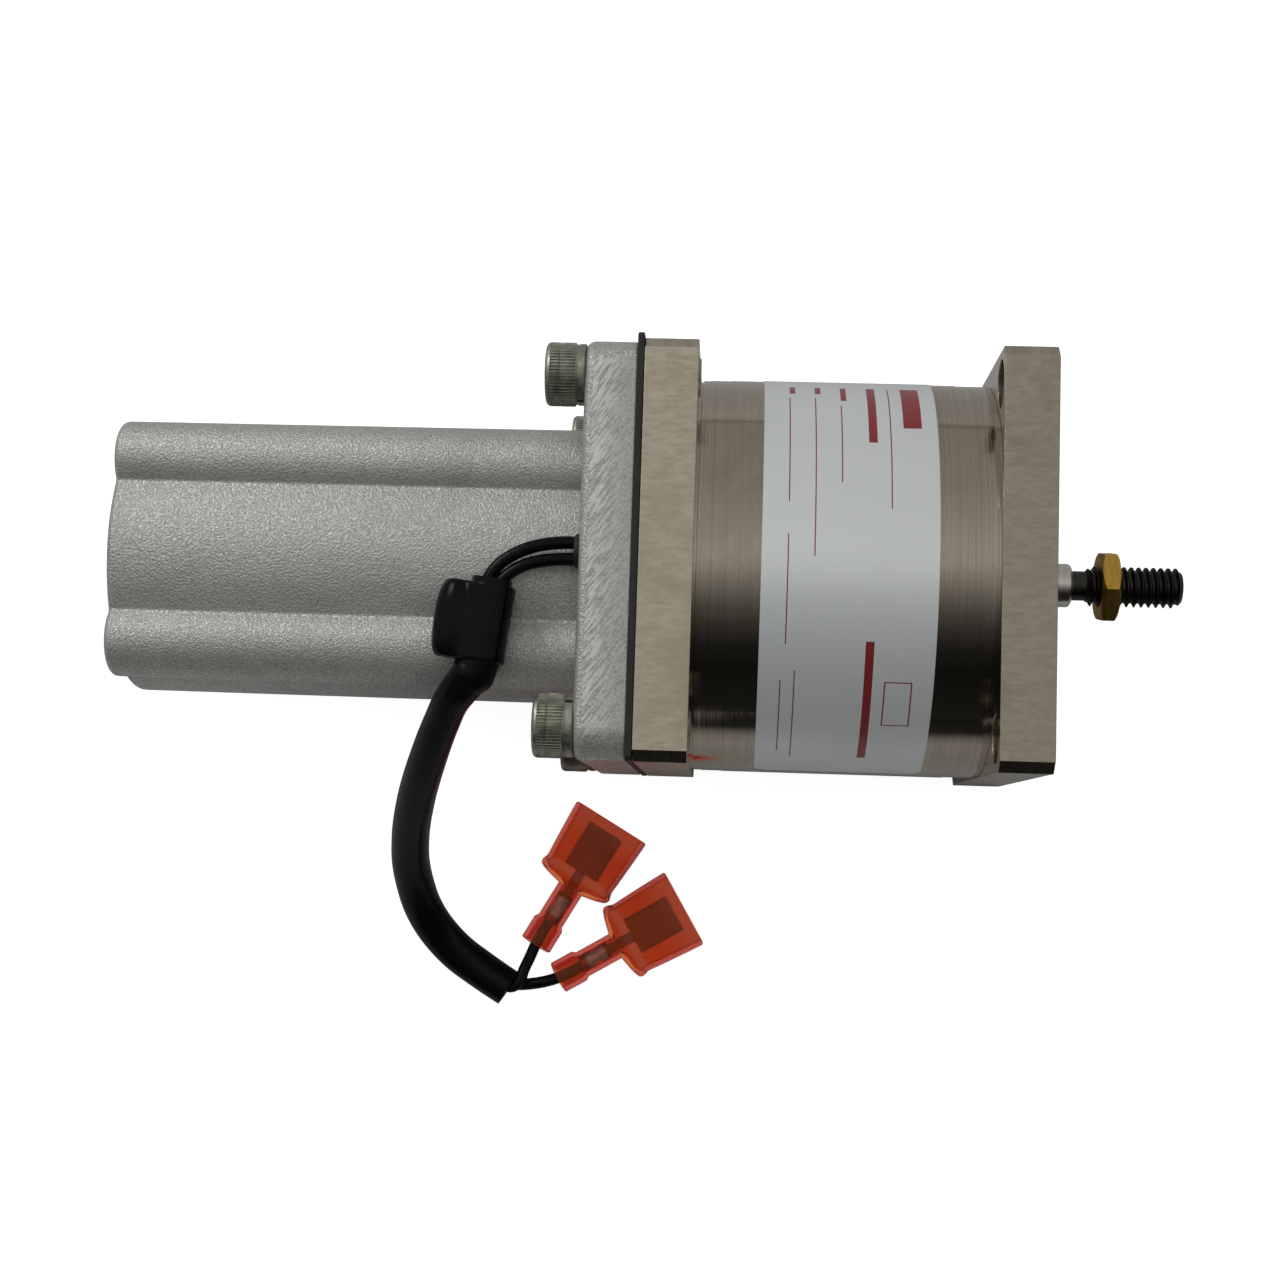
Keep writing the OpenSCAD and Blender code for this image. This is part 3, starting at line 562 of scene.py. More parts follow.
# The cast cover: square flange, round core and four corner columns
def housing_outline(grow):
    core = CORE_R + grow
    column = COLUMN_R + grow
    corner = COLUMN_OFFSET * math.sqrt(2)
    reach = core + CREASE_R
    cosine = (reach ** 2 + corner ** 2 - (column + CREASE_R) ** 2) / (2 * reach * corner)
    half = math.acos(cosine)
    points = []
    for quarter in range(4):
        diagonal = TAU / 8 + quarter * TAU / 4
        centre = Vector((corner * math.cos(diagonal), corner * math.sin(diagonal)))
        first = Vector((reach * math.cos(diagonal - half), reach * math.sin(diagonal - half)))
        second = Vector((reach * math.cos(diagonal + half), reach * math.sin(diagonal + half)))
        into = math.atan2(*(centre - first).yx)
        out = math.atan2(*(centre - second).yx)
        points += arc(core, diagonal - TAU / 4 + half, diagonal - half, 14)[:-1]
        begin = diagonal - half + TAU / 2
        points += arc(CREASE_R, begin, begin - (begin - into) % TAU, 5, first)[:-1]
        begin = into + TAU / 2
        points += arc(column, begin, begin + (out + TAU / 2 - begin) % TAU, 20, centre)[:-1]
        finish = diagonal + half + TAU / 2
        points += arc(CREASE_R, out, out - (out - finish) % TAU, 5, second)[:-1]
    return points


def cover_flange_outline(inset):
    side = COVER_SIDE - 2 * inset
    return rounded_rectangle(side, side, COVER_CORNER_R - inset, 8)


def make_cover(cast_finish, filed_finish):
    bm = bmesh.new()
    rim = walls(bm, cover_flange_outline, eased(X_COVER_REAR, X_COVER_FACE, COVER_EDGE_R, 0.0004, 5))
    fillet = quarter_round(X_COVER_REAR, 0.0, -BASE_FILLET, BASE_FILLET, 5)
    crown = quarter_round(X_COVER_END, -DRAFT, END_ROUND, -END_ROUND, 5)
    housing = walls(bm, housing_outline, fillet + crown[::-1])
    bolts = [hole(bm, bolt, COVER_HOLE_R, X_COVER_REAR, X_COVER_FACE, 0.0, 24) for bolt in BOLTS]
    lead_hole = hole(bm, (LEAD_Y, LEAD_Z), GROMMET_R, X_COVER_REAR, X_COVER_FACE, 0.0, 32)
    cavity = round_walls(bm, [(X_COVER_FACE, CAVITY_R), (X_COVER_END + END_WALL, CAVITY_R)], 72)
    fill(bm, rim[0], housing[0], lead_hole[0], *[b[0] for b in bolts])
    fill(bm, rim[1], cavity[0], lead_hole[1], *[b[1] for b in bolts])
    fill(bm, housing[1])
    fill(bm, cavity[1])
    close_up(bm)
    edge = COVER_SIDE / 2 - 0.0003
    for face in bm.faces:
        middle = face.calc_center_median()
        if middle.x > X_COVER_REAR + COVER_EDGE_R and max(abs(middle.y), abs(middle.z)) > edge:
            face.material_index = 1
    return add_piece("cover_casting", bm, "case", ["spring_cover"],
                     [cast_finish, filed_finish])


def make_gasket(finish):
    bm = bmesh.new()
    wide = gasket_high.y - gasket_low.y
    tall = gasket_high.z - gasket_low.z
    centre = ((gasket_low.y + gasket_high.y) / 2, (gasket_low.z + gasket_high.z) / 2)

    def outline(inset):
        return rounded_rectangle(wide - 2 * inset, tall - 2 * inset, 0.001 - inset, 3, centre)

    x0, x1 = gasket_low.x, gasket_high.x
    rim = walls(bm, outline, eased(x0, x1, 0.0002, 0.0002, 2))
    inner = round_walls(bm, [(x0, CAVITY_R), (x1, CAVITY_R)], 72)
    bolts = [hole(bm, bolt, COVER_HOLE_R, x0, x1, 0.0, 24) for bolt in BOLTS]
    fill_ends(bm, rim, inner, *bolts)
    close_up(bm)
    return add_piece("gasket_sheet", bm, "case", ["cover_gasket"], [finish])


# Cap screws with knurled heads, and their split washers
HEAD_R = 0.0058
HEAD_END_R = 0.0009
KNURLS = 58
KNURL_DEPTH = 0.0003
KEY_R = 0.0063 / math.sqrt(3)
KEY_DEPTH = 0.0034
SHANK_R = 0.0039


def knurled(radius, depth):
    points = []
    for i, (y, z) in enumerate(circle(1.0, count=4 * KNURLS)):
        reach = radius - (depth if i % 4 in (0, 1) else 0.0)
        points.append((reach * y, reach * z))
    return points


def make_screws(finish):
    bm = bmesh.new()
    x0, x_under, x_tip = screw_low.x, washer_low.x, screw_high.x
    groove = x0 + 0.45 * (x_under - x0)
    levels = [(x, r, 0.0) for x, r in quarter_round(x0, HEAD_R, HEAD_END_R, -HEAD_END_R, 4)]
    levels += [
        (x0 + HEAD_END_R + 0.00025, HEAD_R, KNURL_DEPTH), (groove - 0.00012, HEAD_R, KNURL_DEPTH),
        (groove, HEAD_R - 0.00012, KNURL_DEPTH), (groove + 0.00012, HEAD_R, KNURL_DEPTH),
        (x_under - 0.0005, HEAD_R, KNURL_DEPTH), (x_under - 0.0003, HEAD_R - KNURL_DEPTH, 0.0),
        (x_under, HEAD_R - 0.0004, 0.0),
    ]
    head = [ring(bm, x, knurled(r, d)) for x, r, d in levels]
    skin(bm, head)
    key_levels = [(x0, KEY_R + 0.0002), (x0 + 0.0002, KEY_R), (x0 + KEY_DEPTH, KEY_R)]
    key = round_walls(bm, key_levels, 6)
    shank_levels = [(x_under, SHANK_R), (x_tip - 0.0006, SHANK_R), (x_tip, SHANK_R - 0.0006)]
    shank = round_walls(bm, shank_levels, 32)
    fill(bm, head[0], key[0])
    fill(bm, key[1])
    fill(bm, head[-1], shank[0])
    fill(bm, shank[1])
    one = bm.verts[:] + bm.edges[:] + bm.faces[:]
    for i, (y, z) in enumerate(BOLTS):
        copy = bmesh.ops.duplicate(bm, geom=one)["geom"]
        spots = [part for part in copy if isinstance(part, bmesh.types.BMVert)]
        place = Matrix.Translation((0, y, z)) @ Matrix.Rotation(0.35 + 1.9 * i, 4, "X")
        bmesh.ops.transform(bm, matrix=place, verts=spots)
    bmesh.ops.delete(bm, geom=[part for part in one if isinstance(part, bmesh.types.BMVert)],
                     context="VERTS")
    close_up(bm)
    return add_piece("screw_set", bm, "case", ["cover_screws"], [finish], 40.0)


def make_washers(finish):
    bm = bmesh.new()
    x0, x1 = washer_low.x, washer_high.x
    inner, outer, ease = 0.0041, 0.0056, 0.0002
    gap = math.radians(8)
    for i, (y, z) in enumerate(BOLTS):
        section = [
            (x0 + ease, inner), (x1 - ease, inner), (x1, inner + ease), (x1, outer - ease),
            (x1 - ease, outer), (x0 + ease, outer), (x0, outer - ease), (x0, inner + ease),
        ]
        spots = [bm.verts.new((px, y, z + r)) for px, r in section]
        first = bm.faces.new(spots)
        start = Matrix.Rotation(1.3 + 2.1 * i, 3, "X")
        bmesh.ops.rotate(bm, verts=spots, cent=(0, y, z), matrix=start)
        bmesh.ops.spin(bm, geom=[first], cent=(0, y, z), axis=X_AXIS, angle=TAU - gap, steps=48,
                       use_duplicate=False)
    close_up(bm)
    return add_piece("washer_set", bm, "case", ["lock_washers"], [finish])


# The nameplate, bent round the body
PLATE_ENDS = (math.radians(-81.5), math.radians(89))
PLATE_CORNER = 0.0022
PLATE_SHEET = 0.00012
PLATE_COLUMNS = 24
PLATE_ROWS = 120


def make_plate(finish):
    bm = bmesh.new()
    width = plate_high.x - plate_low.x
    middle = (plate_low.x + plate_high.x) / 2
    radius = plate_high.z
    low_end, high_end = PLATE_ENDS
    length = (high_end - low_end) * radius
    lift = (high_end + low_end) / 2 * radius
    bmesh.ops.create_grid(bm, x_segments=PLATE_COLUMNS, y_segments=PLATE_ROWS, size=0.5)
    for spot in bm.verts:
        u, v = spot.co.x * width, spot.co.y * length
        past = max(abs(v) - (length / 2 - PLATE_CORNER), 0.0)
        limit = width / 2 - PLATE_CORNER + math.sqrt(max(PLATE_CORNER ** 2 - past ** 2, 0.0))
        if past > 0:
            u *= limit / (width / 2)
        spot.co = (u, v, 0.0)
    unwrap(bm, "plate", lambda co: (co.x, co.y + lift))
    for spot in bm.verts:
        angle = (spot.co.y + lift) / radius
        spot.co = (middle + spot.co.x, radius * math.sin(angle), radius * math.cos(angle))
    bmesh.ops.remove_doubles(bm, verts=bm.verts, dist=SAME_PLACE)
    bmesh.ops.solidify(bm, geom=list(bm.faces), thickness=PLATE_SHEET)
    return add_piece("plate_blank", bm, "case", ["nameplate"], [finish])


# The output end: shaft, threaded stud and jam nut
STUD_PITCH = 0.0254 / 18
STUD_ROOT_R = 0.00315
NECK_R = 0.00285
X_THREAD = 0.011
NUT_AF = 0.0127
NUT_STEPS = 72
THREAD_STEPS = 40


def make_shaft(finish):
    bm = bmesh.new()
    r = shaft_high.z
    x0, x1 = shaft_low.x, shaft_high.x
    front = quarter_round(x1, r, -0.0008, -0.0008, 4)
    profile = [(x0, 0.0), (x0, r - 0.0004), (x0 + 0.0004, r)] + front[::-1]
    profile += [(x1, 0.0036), (x1 - 0.0002, 0.0034), (x1 - 0.0006, NECK_R + 0.0003)]
    profile += [(x1 - 0.0095, NECK_R + 0.0001), (x1 - 0.0095, 0.0)]
    turned(bm, profile)
    close_up(bm)
    return add_piece("shaft_bar", bm, "moving_core", ["output_shaft"], [finish])


def make_stud(finish):
    bm = bmesh.new()
    crest = stud_high.z
    x0, x1 = X_THREAD, stud_high.x
    tooth = [(0.0, STUD_ROOT_R), (0.14, STUD_ROOT_R), (0.44, crest), (0.56, crest), (0.86, STUD_ROOT_R),
             (1.0, STUD_ROOT_R)]
    turns = math.ceil((x1 - x0) / STUD_PITCH) + 2
    line = open_line(bm, [(x0 + (u - 1) * STUD_PITCH, r) for u, r in tooth])
    bmesh.ops.spin(bm, geom=line, cent=(0, 0, 0), axis=X_AXIS,
                   dvec=(STUD_PITCH / THREAD_STEPS, 0, 0), angle=TAU * turns, steps=THREAD_STEPS * turns)
    bmesh.ops.remove_doubles(bm, verts=bm.verts, dist=2e-6)
    for place, normal in ((x0, (-1, 0, 0)), (x1, (1, 0, 0))):
        everything = bm.verts[:] + bm.edges[:] + bm.faces[:]
        bmesh.ops.bisect_plane(bm, geom=everything, dist=DOUBLE, plane_co=(place, 0, 0), plane_no=normal,
                               clear_outer=True)
    open_edges = [edge for edge in bm.edges if edge.is_boundary]
    bmesh.ops.holes_fill(bm, edges=open_edges, sides=0)
    bmesh.ops.triangulate(bm, faces=[face for face in bm.faces if len(face.verts) > 4])
    for spot in bm.verts:
        reach = math.hypot(spot.co.y, spot.co.z)
        limit = min(NECK_R + (spot.co.x - x0) * 1.2, crest - (spot.co.x - (x1 - 0.001)))
        if reach > limit:
            spot.co.y *= limit / reach
            spot.co.z *= limit / reach
    close_up(bm)
    neck = bmesh.new()
    turned(neck, [(stud_low.x, 0), (stud_low.x, NECK_R), (x0 + 0.0002, NECK_R), (x0 + 0.0002, 0)], 40)
    close_up(neck)
    spare = bpy.data.meshes.new("stud_neck")
    neck.to_mesh(spare)
    neck.free()
    bm.from_mesh(spare)
    bpy.data.meshes.remove(spare)
    return add_piece("stud_screw", bm, "moving_core", ["threaded_stud"], [finish])


def make_nut(finish):
    bm = bmesh.new()
    x0, x1 = nut_low.x, nut_high.x
    bore = stud_high.z + 0.00005
    half = NUT_AF / 2
    slope = math.tan(math.radians(30))
    turn = math.radians(11)
    flat = half - 0.0001
    lead_in = 0.0005

    def corner_ring(x, way):
        corners = []
        for i in range(NUT_STEPS):
            angle = i * TAU / NUT_STEPS
            fold = (angle + TAU / 12) % (TAU / 6) - TAU / 12
            reach = half / math.cos(fold)
            drop = (reach - flat) * slope
            a = angle + turn
            corners.append((x + way * drop, reach * math.cos(a), reach * math.sin(a)))
        return closed_loop(bm, corners)

    def round_ring(x, radius):
        return ring(bm, x, circle(radius, count=NUT_STEPS))

    front_face = round_ring(x1, flat)
    outside = [front_face, corner_ring(x1, -1), corner_ring(x0, 1), round_ring(x0, flat)]
    inside = [round_ring(x0, bore + lead_in), round_ring(x0 + lead_in, bore),
              round_ring(x1 - lead_in, bore), round_ring(x1, bore + lead_in)]
    skin(bm, outside + inside + [front_face])
    close_up(bm)
    return add_piece("nut_hexagon", bm, "moving_core", ["jam_nut"], [finish], 24.0)


# The leads' fittings
def make_grommet(finish):
    bm = bmesh.new()
    centre = (LEAD_Y, LEAD_Z)
    x0, x1 = grommet_low.x, grommet_high.x
    rim = walls(bm, lambda inset: circle(GROMMET_R - inset, centre, 40), eased(x0, x1, 0.0006, 0.0001, 3))
    leads = []
    for side in (-1, 1):
        at = (LEAD_Y + side * LEAD_PITCH / 2, LEAD_Z)
        leads.append(hole(bm, at, LEAD_D / 2 + 0.00005, x0, x1, 0.00015, 20))
    fill_ends(bm, rim, *leads)
    close_up(bm)
    return add_piece("grommet_ring", bm, "case", ["lead_grommet"], [finish])


CLIP_R = 0.00455
LOBE_R = 0.0036
LOBE_SIDE = 0.0058
CLIP_LEN = 0.0142
CLIP_FILLET = 0.0024
SLIT_W = 0.0005
SLIT_DEPTH = 0.0006


def drawn_in(depth, length, amount):
    share = max(1 - depth / length, 0.0)
    return amount * (1 - math.sqrt(1 - share ** 2))


def clip_outline(depth):
    # the cylinder ends crisply, the lobe is rounded off over a longer way
    inset = drawn_in(depth, 0.0005, 0.0005)
    big = CLIP_R - inset
    small = LOBE_R - drawn_in(depth, 0.0055, 0.0016)
    fillet = CLIP_FILLET
    reach = big + fillet
    other = small + fillet
    along = (LOBE_SIDE ** 2 + reach ** 2 - other ** 2) / (2 * LOBE_SIDE)
    up = math.sqrt(reach ** 2 - along ** 2)
    top = Vector((-along, up))
    low = Vector((-along, -up))
    lobe = Vector((-LOBE_SIDE, 0))
    leave = math.atan2(up, -along)
    into_lobe = math.atan2(*(top - lobe).yx)
    slit = math.radians(42)
    half = SLIT_W / 2 / big
    points = arc(big, -leave, slit - half, 30)
    points += [(y * (1 - SLIT_DEPTH / big), z * (1 - SLIT_DEPTH / big))
               for y, z in arc(big, slit - half, slit + half, 2)]
    points += arc(big, slit + half, leave, 20)[:-1]
    points += arc(fillet, leave + TAU / 2, into_lobe + TAU / 2, 4, top)[:-1]
    points += arc(small, into_lobe, TAU - into_lobe, 30, lobe)[:-1]
    points += arc(fillet, TAU / 2 - into_lobe, TAU / 2 - leave, 4, low)[:-1]
    return points


def make_clip(finish):
    bm = bmesh.new()
    x0, x1 = -CLIP_LEN / 2, CLIP_LEN / 2
    bore_r = SLEEVE_D / 2 + 0.00005
    depths = [0.0, 0.00004, 0.00015, 0.0003, 0.0005, 0.0009, 0.0014, 0.002, 0.0028, 0.0037, 0.0046, 0.0055]
    levels = [(x0 + d, d) for d in depths] + [(x1 - d, d) for d in reversed(depths)]
    rim = walls(bm, clip_outline, levels)
    bore = hole(bm, (0.0, 0.0), bore_r, x0, x1, 0.00012, 40)
    fill_ends(bm, rim, bore)
    route = [Vector(p) for p in SLEEVE_ROUTE]
    along = route[2] - route[0]
    place = Matrix.Translation(route[1]) @ Matrix.Rotation(math.atan2(along.y, along.x), 4, "Z")
    bmesh.ops.transform(bm, matrix=place, verts=bm.verts)
    close_up(bm)
    return add_piece("clip_moulding", bm, "case", ["lead_clip"], [finish])


FUNNEL_R = 0.0034
FUNNEL_LEN = 0.0056
BARREL_R = 0.00285
BARREL_LEN = 0.0136
HOOD_START = 0.0166
HOOD_END = 0.03
HOOD_MOUTH = 0.0085
HOOD_T = 0.0066
HOOD_R = 0.0018
HOOD_RISE = 0.0018
INSULATOR_WALL = 0.0009
SECTION_STEPS = 11
SECTION_COUNT = 4 * (SECTION_STEPS + 1)


# half widths of the hood along its length: wings behind, then widening to the opening
HOOD_WIDTHS = [
    (0.0139, 0.0042), (0.0142, 0.0055), (0.0145, 0.0066), (0.0148, 0.0074), (0.0151, 0.0079),
    (0.0154, 0.0081), (0.0157, 0.0082), (0.0160, 0.0082), (0.0166, 0.0080), (0.0172, 0.0078),
    (0.0178, 0.0078), (0.0205, 0.0080), (0.0255, 0.0083),
]


def hood_section(half, inset):
    corner = max(HOOD_R - inset, 0.0003)
    return rounded_rectangle(2 * (half - inset), HOOD_T - 2 * inset, corner, SECTION_STEPS)


def barrel_section(radius):
    return circle(radius, count=SECTION_COUNT)


def between(first, second, wide, tall):
    return [(a[0] + (b[0] - a[0]) * wide, a[1] + (b[1] - a[1]) * tall) for a, b in zip(first, second)]


def make_hood(name, cad_node, connector, finish):
    bm = bmesh.new()
    barrel, bore = barrel_section(BARREL_R), barrel_section(BARREL_R - INSULATOR_WALL)
    outside = [
        (0.0, barrel_section(FUNNEL_R - 0.00025)), (0.00015, barrel_section(FUNNEL_R)),
        (FUNNEL_LEN - 0.0006, barrel_section(FUNNEL_R)), (FUNNEL_LEN + 0.0002, barrel),
        (BARREL_LEN, barrel),
    ]
    for x, half in HOOD_WIDTHS:
        rise = min((x - BARREL_LEN) / HOOD_RISE, 1.0)
        outside.append((x, between(barrel, hood_section(half, 0.0), 1.0, rise)))
    outside += [(HOOD_END - 0.0003, hood_section(HOOD_MOUTH, 0.0)),
                (HOOD_END, hood_section(HOOD_MOUTH, 0.0003))]
    inside = [
        (HOOD_END, hood_section(HOOD_MOUTH, INSULATOR_WALL - 0.0002)),
        (HOOD_END - 0.0002, hood_section(HOOD_MOUTH, INSULATOR_WALL)),
    ]
    for x, half in reversed(HOOD_WIDTHS):
        rise = min((x - BARREL_LEN) / HOOD_RISE, 1.0)
        wide = min(1.0, (x - BARREL_LEN) / 0.0012)
        section = between(bore, hood_section(half, INSULATOR_WALL), wide, rise)
        inside.append((x + 0.0006 * (1 - min((x - BARREL_LEN) / 0.005, 1.0)), section))
    inside += [
        (BARREL_LEN + 0.0004, bore), (FUNNEL_LEN + 0.0004, bore),
        (FUNNEL_LEN - 0.0009, barrel_section(FUNNEL_R - INSULATOR_WALL)),
        (0.00015, barrel_section(FUNNEL_R - INSULATOR_WALL)),
        (0.0, barrel_section(FUNNEL_R - INSULATOR_WALL + 0.00025)),
    ]
    rings = [ring(bm, x, outline) for x, outline in outside + inside]
    skin(bm, rings + rings[:1])
    unwrap(bm, "hood", lambda co: co.xy)
    lay_on_table(bm, connector)
    close_up(bm)
    return add_piece(name, bm, "case", [cad_node], [finish], 50.0)


def lay_on_table(bm, connector):
    x, y, angle = connector
    place = Matrix.Translation((x, y, CONNECTOR_Z)) @ Matrix.Rotation(angle, 4, "Z")
    bmesh.ops.transform(bm, matrix=place, verts=bm.verts)


CRIMP_R = 0.00195
CRIMP_LEN = 0.0066
RECEPTACLE_W = 0.0082
RECEPTACLE_T = 0.0028
RECEPTACLE_LEN = 0.01
RECEPTACLE_SET = 0.0012
SHEET_T = 0.0008


def make_terminal(name, cad_node, connector, finish):
    bm = bmesh.new()
    x_web = FUNNEL_LEN + CRIMP_LEN
    x_box = HOOD_START + RECEPTACLE_SET
    x_end = x_box + RECEPTACLE_LEN
    dent = x_web - 0.45 * CRIMP_LEN
    crimp = [
        (FUNNEL_LEN, CRIMP_R - 0.0002), (FUNNEL_LEN + 0.0002, CRIMP_R), (dent - 0.0012, CRIMP_R),
        (dent - 0.0006, CRIMP_R - 0.0003), (dent + 0.0006, CRIMP_R - 0.0003), (dent + 0.0012, CRIMP_R),
        (x_web - 0.0002, CRIMP_R), (x_web, CRIMP_R - 0.0002),
    ]
    barrel = [ring(bm, x, circle(r, count=28)) for x, r in crimp]
    bore = [ring(bm, x, circle(LEAD_D / 2 + 0.00005, count=28)) for x in (x_web, FUNNEL_LEN)]
    skin(bm, barrel + bore + barrel[:1])

    def channel(inset):
        return rounded_rectangle(RECEPTACLE_W - 2 * inset, RECEPTACLE_T - 2 * inset, 0.0009 - inset, 5)

    levels = eased(x_box, x_end, 0.0002, 0.0002, 2)
    outer = walls(bm, channel, levels)
    inner = walls(bm, channel, [(x_box, SHEET_T), (x_end, SHEET_T)])
    fill_ends(bm, outer, inner)
    web = bmesh.ops.create_cube(bm, size=1.0)["verts"]
    web_w = 2 * CRIMP_R - 2 * SHEET_T
    middle = Matrix.Translation(((x_web + x_box) / 2, 0, -RECEPTACLE_T / 2 + SHEET_T / 2))
    shape = Matrix.Diagonal((x_box - x_web + 0.0004, web_w, SHEET_T, 1))
    bmesh.ops.transform(bm, matrix=middle @ shape, verts=web)
    lay_on_table(bm, connector)
    close_up(bm)
    return add_piece(name, bm, "case", [cad_node], [finish])


# The return spring inside the cover
SPRING_WIRE_R = 0.0012
SPRING_TURNS = 8
SPRING_STEPS = 36


def make_spring(finish):
    bm = bmesh.new()
    coil_r = (spring_high.z - spring_low.z) / 2 - SPRING_WIRE_R
    x_start = spring_low.x + SPRING_WIRE_R
    closed = 2 * SPRING_WIRE_R * 1.05
    working = (spring_high.x - spring_low.x - 2 * SPRING_WIRE_R - 2 * closed) / SPRING_TURNS
    place = Matrix.Translation((x_start, 0, coil_r)) @ Matrix.Rotation(TAU / 4, 4, "X")
    made = bmesh.ops.create_circle(bm, cap_ends=True, segments=12, radius=SPRING_WIRE_R, matrix=place)
    cut_end = list({face for spot in made["verts"] for face in spot.link_faces})
    last = cut_end
    for pitch, turns in ((closed, 1), (working, SPRING_TURNS), (closed, 1)):
        done = bmesh.ops.spin(bm, geom=last, cent=(0, 0, 0), axis=X_AXIS, angle=TAU * turns,
                              dvec=(pitch / SPRING_STEPS, 0, 0), steps=SPRING_STEPS * turns,
                              use_duplicate=False)
        if last is not cut_end:
            bmesh.ops.delete(bm, geom=last, context="FACES_ONLY")
        last = [part for part in done["geom_last"] if isinstance(part, bmesh.types.BMFace)]
    close_up(bm)
    spring = add_piece("spring_coil", bm, "case", ["return_spring"], [finish])
    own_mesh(spring)
    return spring


# Finishes
def make_red_nylon(grain, stain):
    # clear red nylon, with a painted pinker and deeper shade where its wall is seen edge on, standing in
    # for light passing through more of the wall
    finish, tree, shader = new_finish("red_nylon", Transmission_Weight=0.85, IOR=1.25)
    coords = object_coords(tree)
    flow = group_of(tree, stain, coords, Scale=160.0, Cover=0.45)
    grip = group_of(tree, grain, coords, Scale=900.0, Spread=0.3)
    edge_on = node(tree, "ShaderNodeLayerWeight", {"Blend": 0.4}).outputs["Facing"]
    edge_on_painted_shade = spread(tree, edge_on, 0.03, 0.2, 0.0, 1.0)
    colour = mixed(tree, flow, (0.70, 0.17, 0.048, 1), (0.75, 0.2, 0.066, 1))
    # paler towards the mouth as a painted sheen, at the back wall as a painted lighter band, and over the
    # crimp
    place = axes_of(tree, node(tree, "ShaderNodeUVMap", uv_map="hood").outputs[0])
    along, across = place[0], calc(tree, "ABSOLUTE", place[1])
    mouth = spread(tree, along, 0.0225, HOOD_END, 0.0, 0.6)
    back = calc(tree, "MULTIPLY", spread(tree, along, 0.0156, 0.0163, 0.0, 1.0),
                spread(tree, along, 0.0172, 0.0182, 0.6, 0.0))
    # one pale colour for the painted sheen at the mouth and the painted light on the back wall
    colour = mixed(tree, calc(tree, "MAXIMUM", mouth, back), colour, (0.70, 0.30, 0.22, 1))
    pale_over_crimp = calc(tree, "MULTIPLY", spread(tree, along, 0.0068, 0.0076, 0.0, 1.0),
                   spread(tree, along, 0.0110, 0.0118, 0.85, 0.0))
    pale_over_crimp = calc(tree, "MULTIPLY", pale_over_crimp, spread(tree, across, 0.0012, 0.0018, 1.0, 0.0))
    colour = mixed(tree, pale_over_crimp, colour, (0.88, 0.56, 0.43, 1))
    # painted shade: deeper red where the wall is seen edge on
    colour = mixed(tree, edge_on_painted_shade, colour, (0.64, 0.12, 0.095, 1))
    worn = spread(tree, calc(tree, "ADD", grip, flow), 0.0, 2.0, 0.16, 0.26)
    dress(tree, shader, colour, worn, bumped(tree, grip, 0.05, 0.00005))
    return finish


# middles and half sizes of the plain bars and rules on the plate
PLATE_MARKS = [
    ((0.0112, 0.0340), (0.0017, 0.0080)), ((0.0072, 0.0250), (0.00014, 0.0170)),
    ((0.0040, 0.0320), (0.0008, 0.0100)), ((-0.0011, 0.0385), (0.00055, 0.0035)),
    ((-0.0016, 0.0230), (0.00014, 0.0100)), ((-0.0058, 0.0400), (0.00055, 0.0020)),
    ((-0.0063, 0.0175), (0.00014, 0.0185)), ((-0.0105, 0.0400), (0.00055, 0.0020)),
    ((-0.0110, 0.0225), (0.00014, 0.0135)), ((-0.0110, -0.0070), (0.00014, 0.0100)),
    ((0.0040, -0.0305), (0.0008, 0.0145)), ((0.0118, -0.0290), (0.00016, 0.0050)),
    ((0.0070, -0.0290), (0.00016, 0.0050)), ((0.0094, -0.0240), (0.00256, 0.00016)),
    ((0.0094, -0.0340), (0.00256, 0.00016)), ((-0.0092, -0.0335), (0.00014, 0.0115)),
    ((-0.0117, -0.0335), (0.00014, 0.0095)),
]


def make_plate_film(grain, stain, bar):
    finish, tree, shader = new_finish("plate_film", Metallic=0.35, Coat_Weight=0.4, Coat_Roughness=0.12)
    coords = object_coords(tree)
    place = node(tree, "ShaderNodeUVMap", uv_map="plate").outputs[0]
    ink = 0.0
    for (u, v), (half_u, half_v) in PLATE_MARKS:
        one = group_of(tree, bar, place, Centre=(u, v, 0), Half=(half_u, half_v, 0))
        ink = calc(tree, "MAXIMUM", one, ink)
    marks = group_of(tree, stain, coords, Scale=60.0, Cover=0.4)
    worn = calc(tree, "MULTIPLY", marks, 0.5)
    film = mixed(tree, worn, (0.72, 0.75, 0.76, 1), (0.67, 0.695, 0.70, 1))
    wear = group_of(tree, grain, coords, Scale=300.0, Spread=0.3)
    rough = spread(tree, calc(tree, "ADD", wear, marks), 0.0, 2.0, 0.34, 0.46)
    dress(tree, shader, mixed(tree, ink, film, (0.30, 0.032, 0.036, 1)), rough)
    return finish


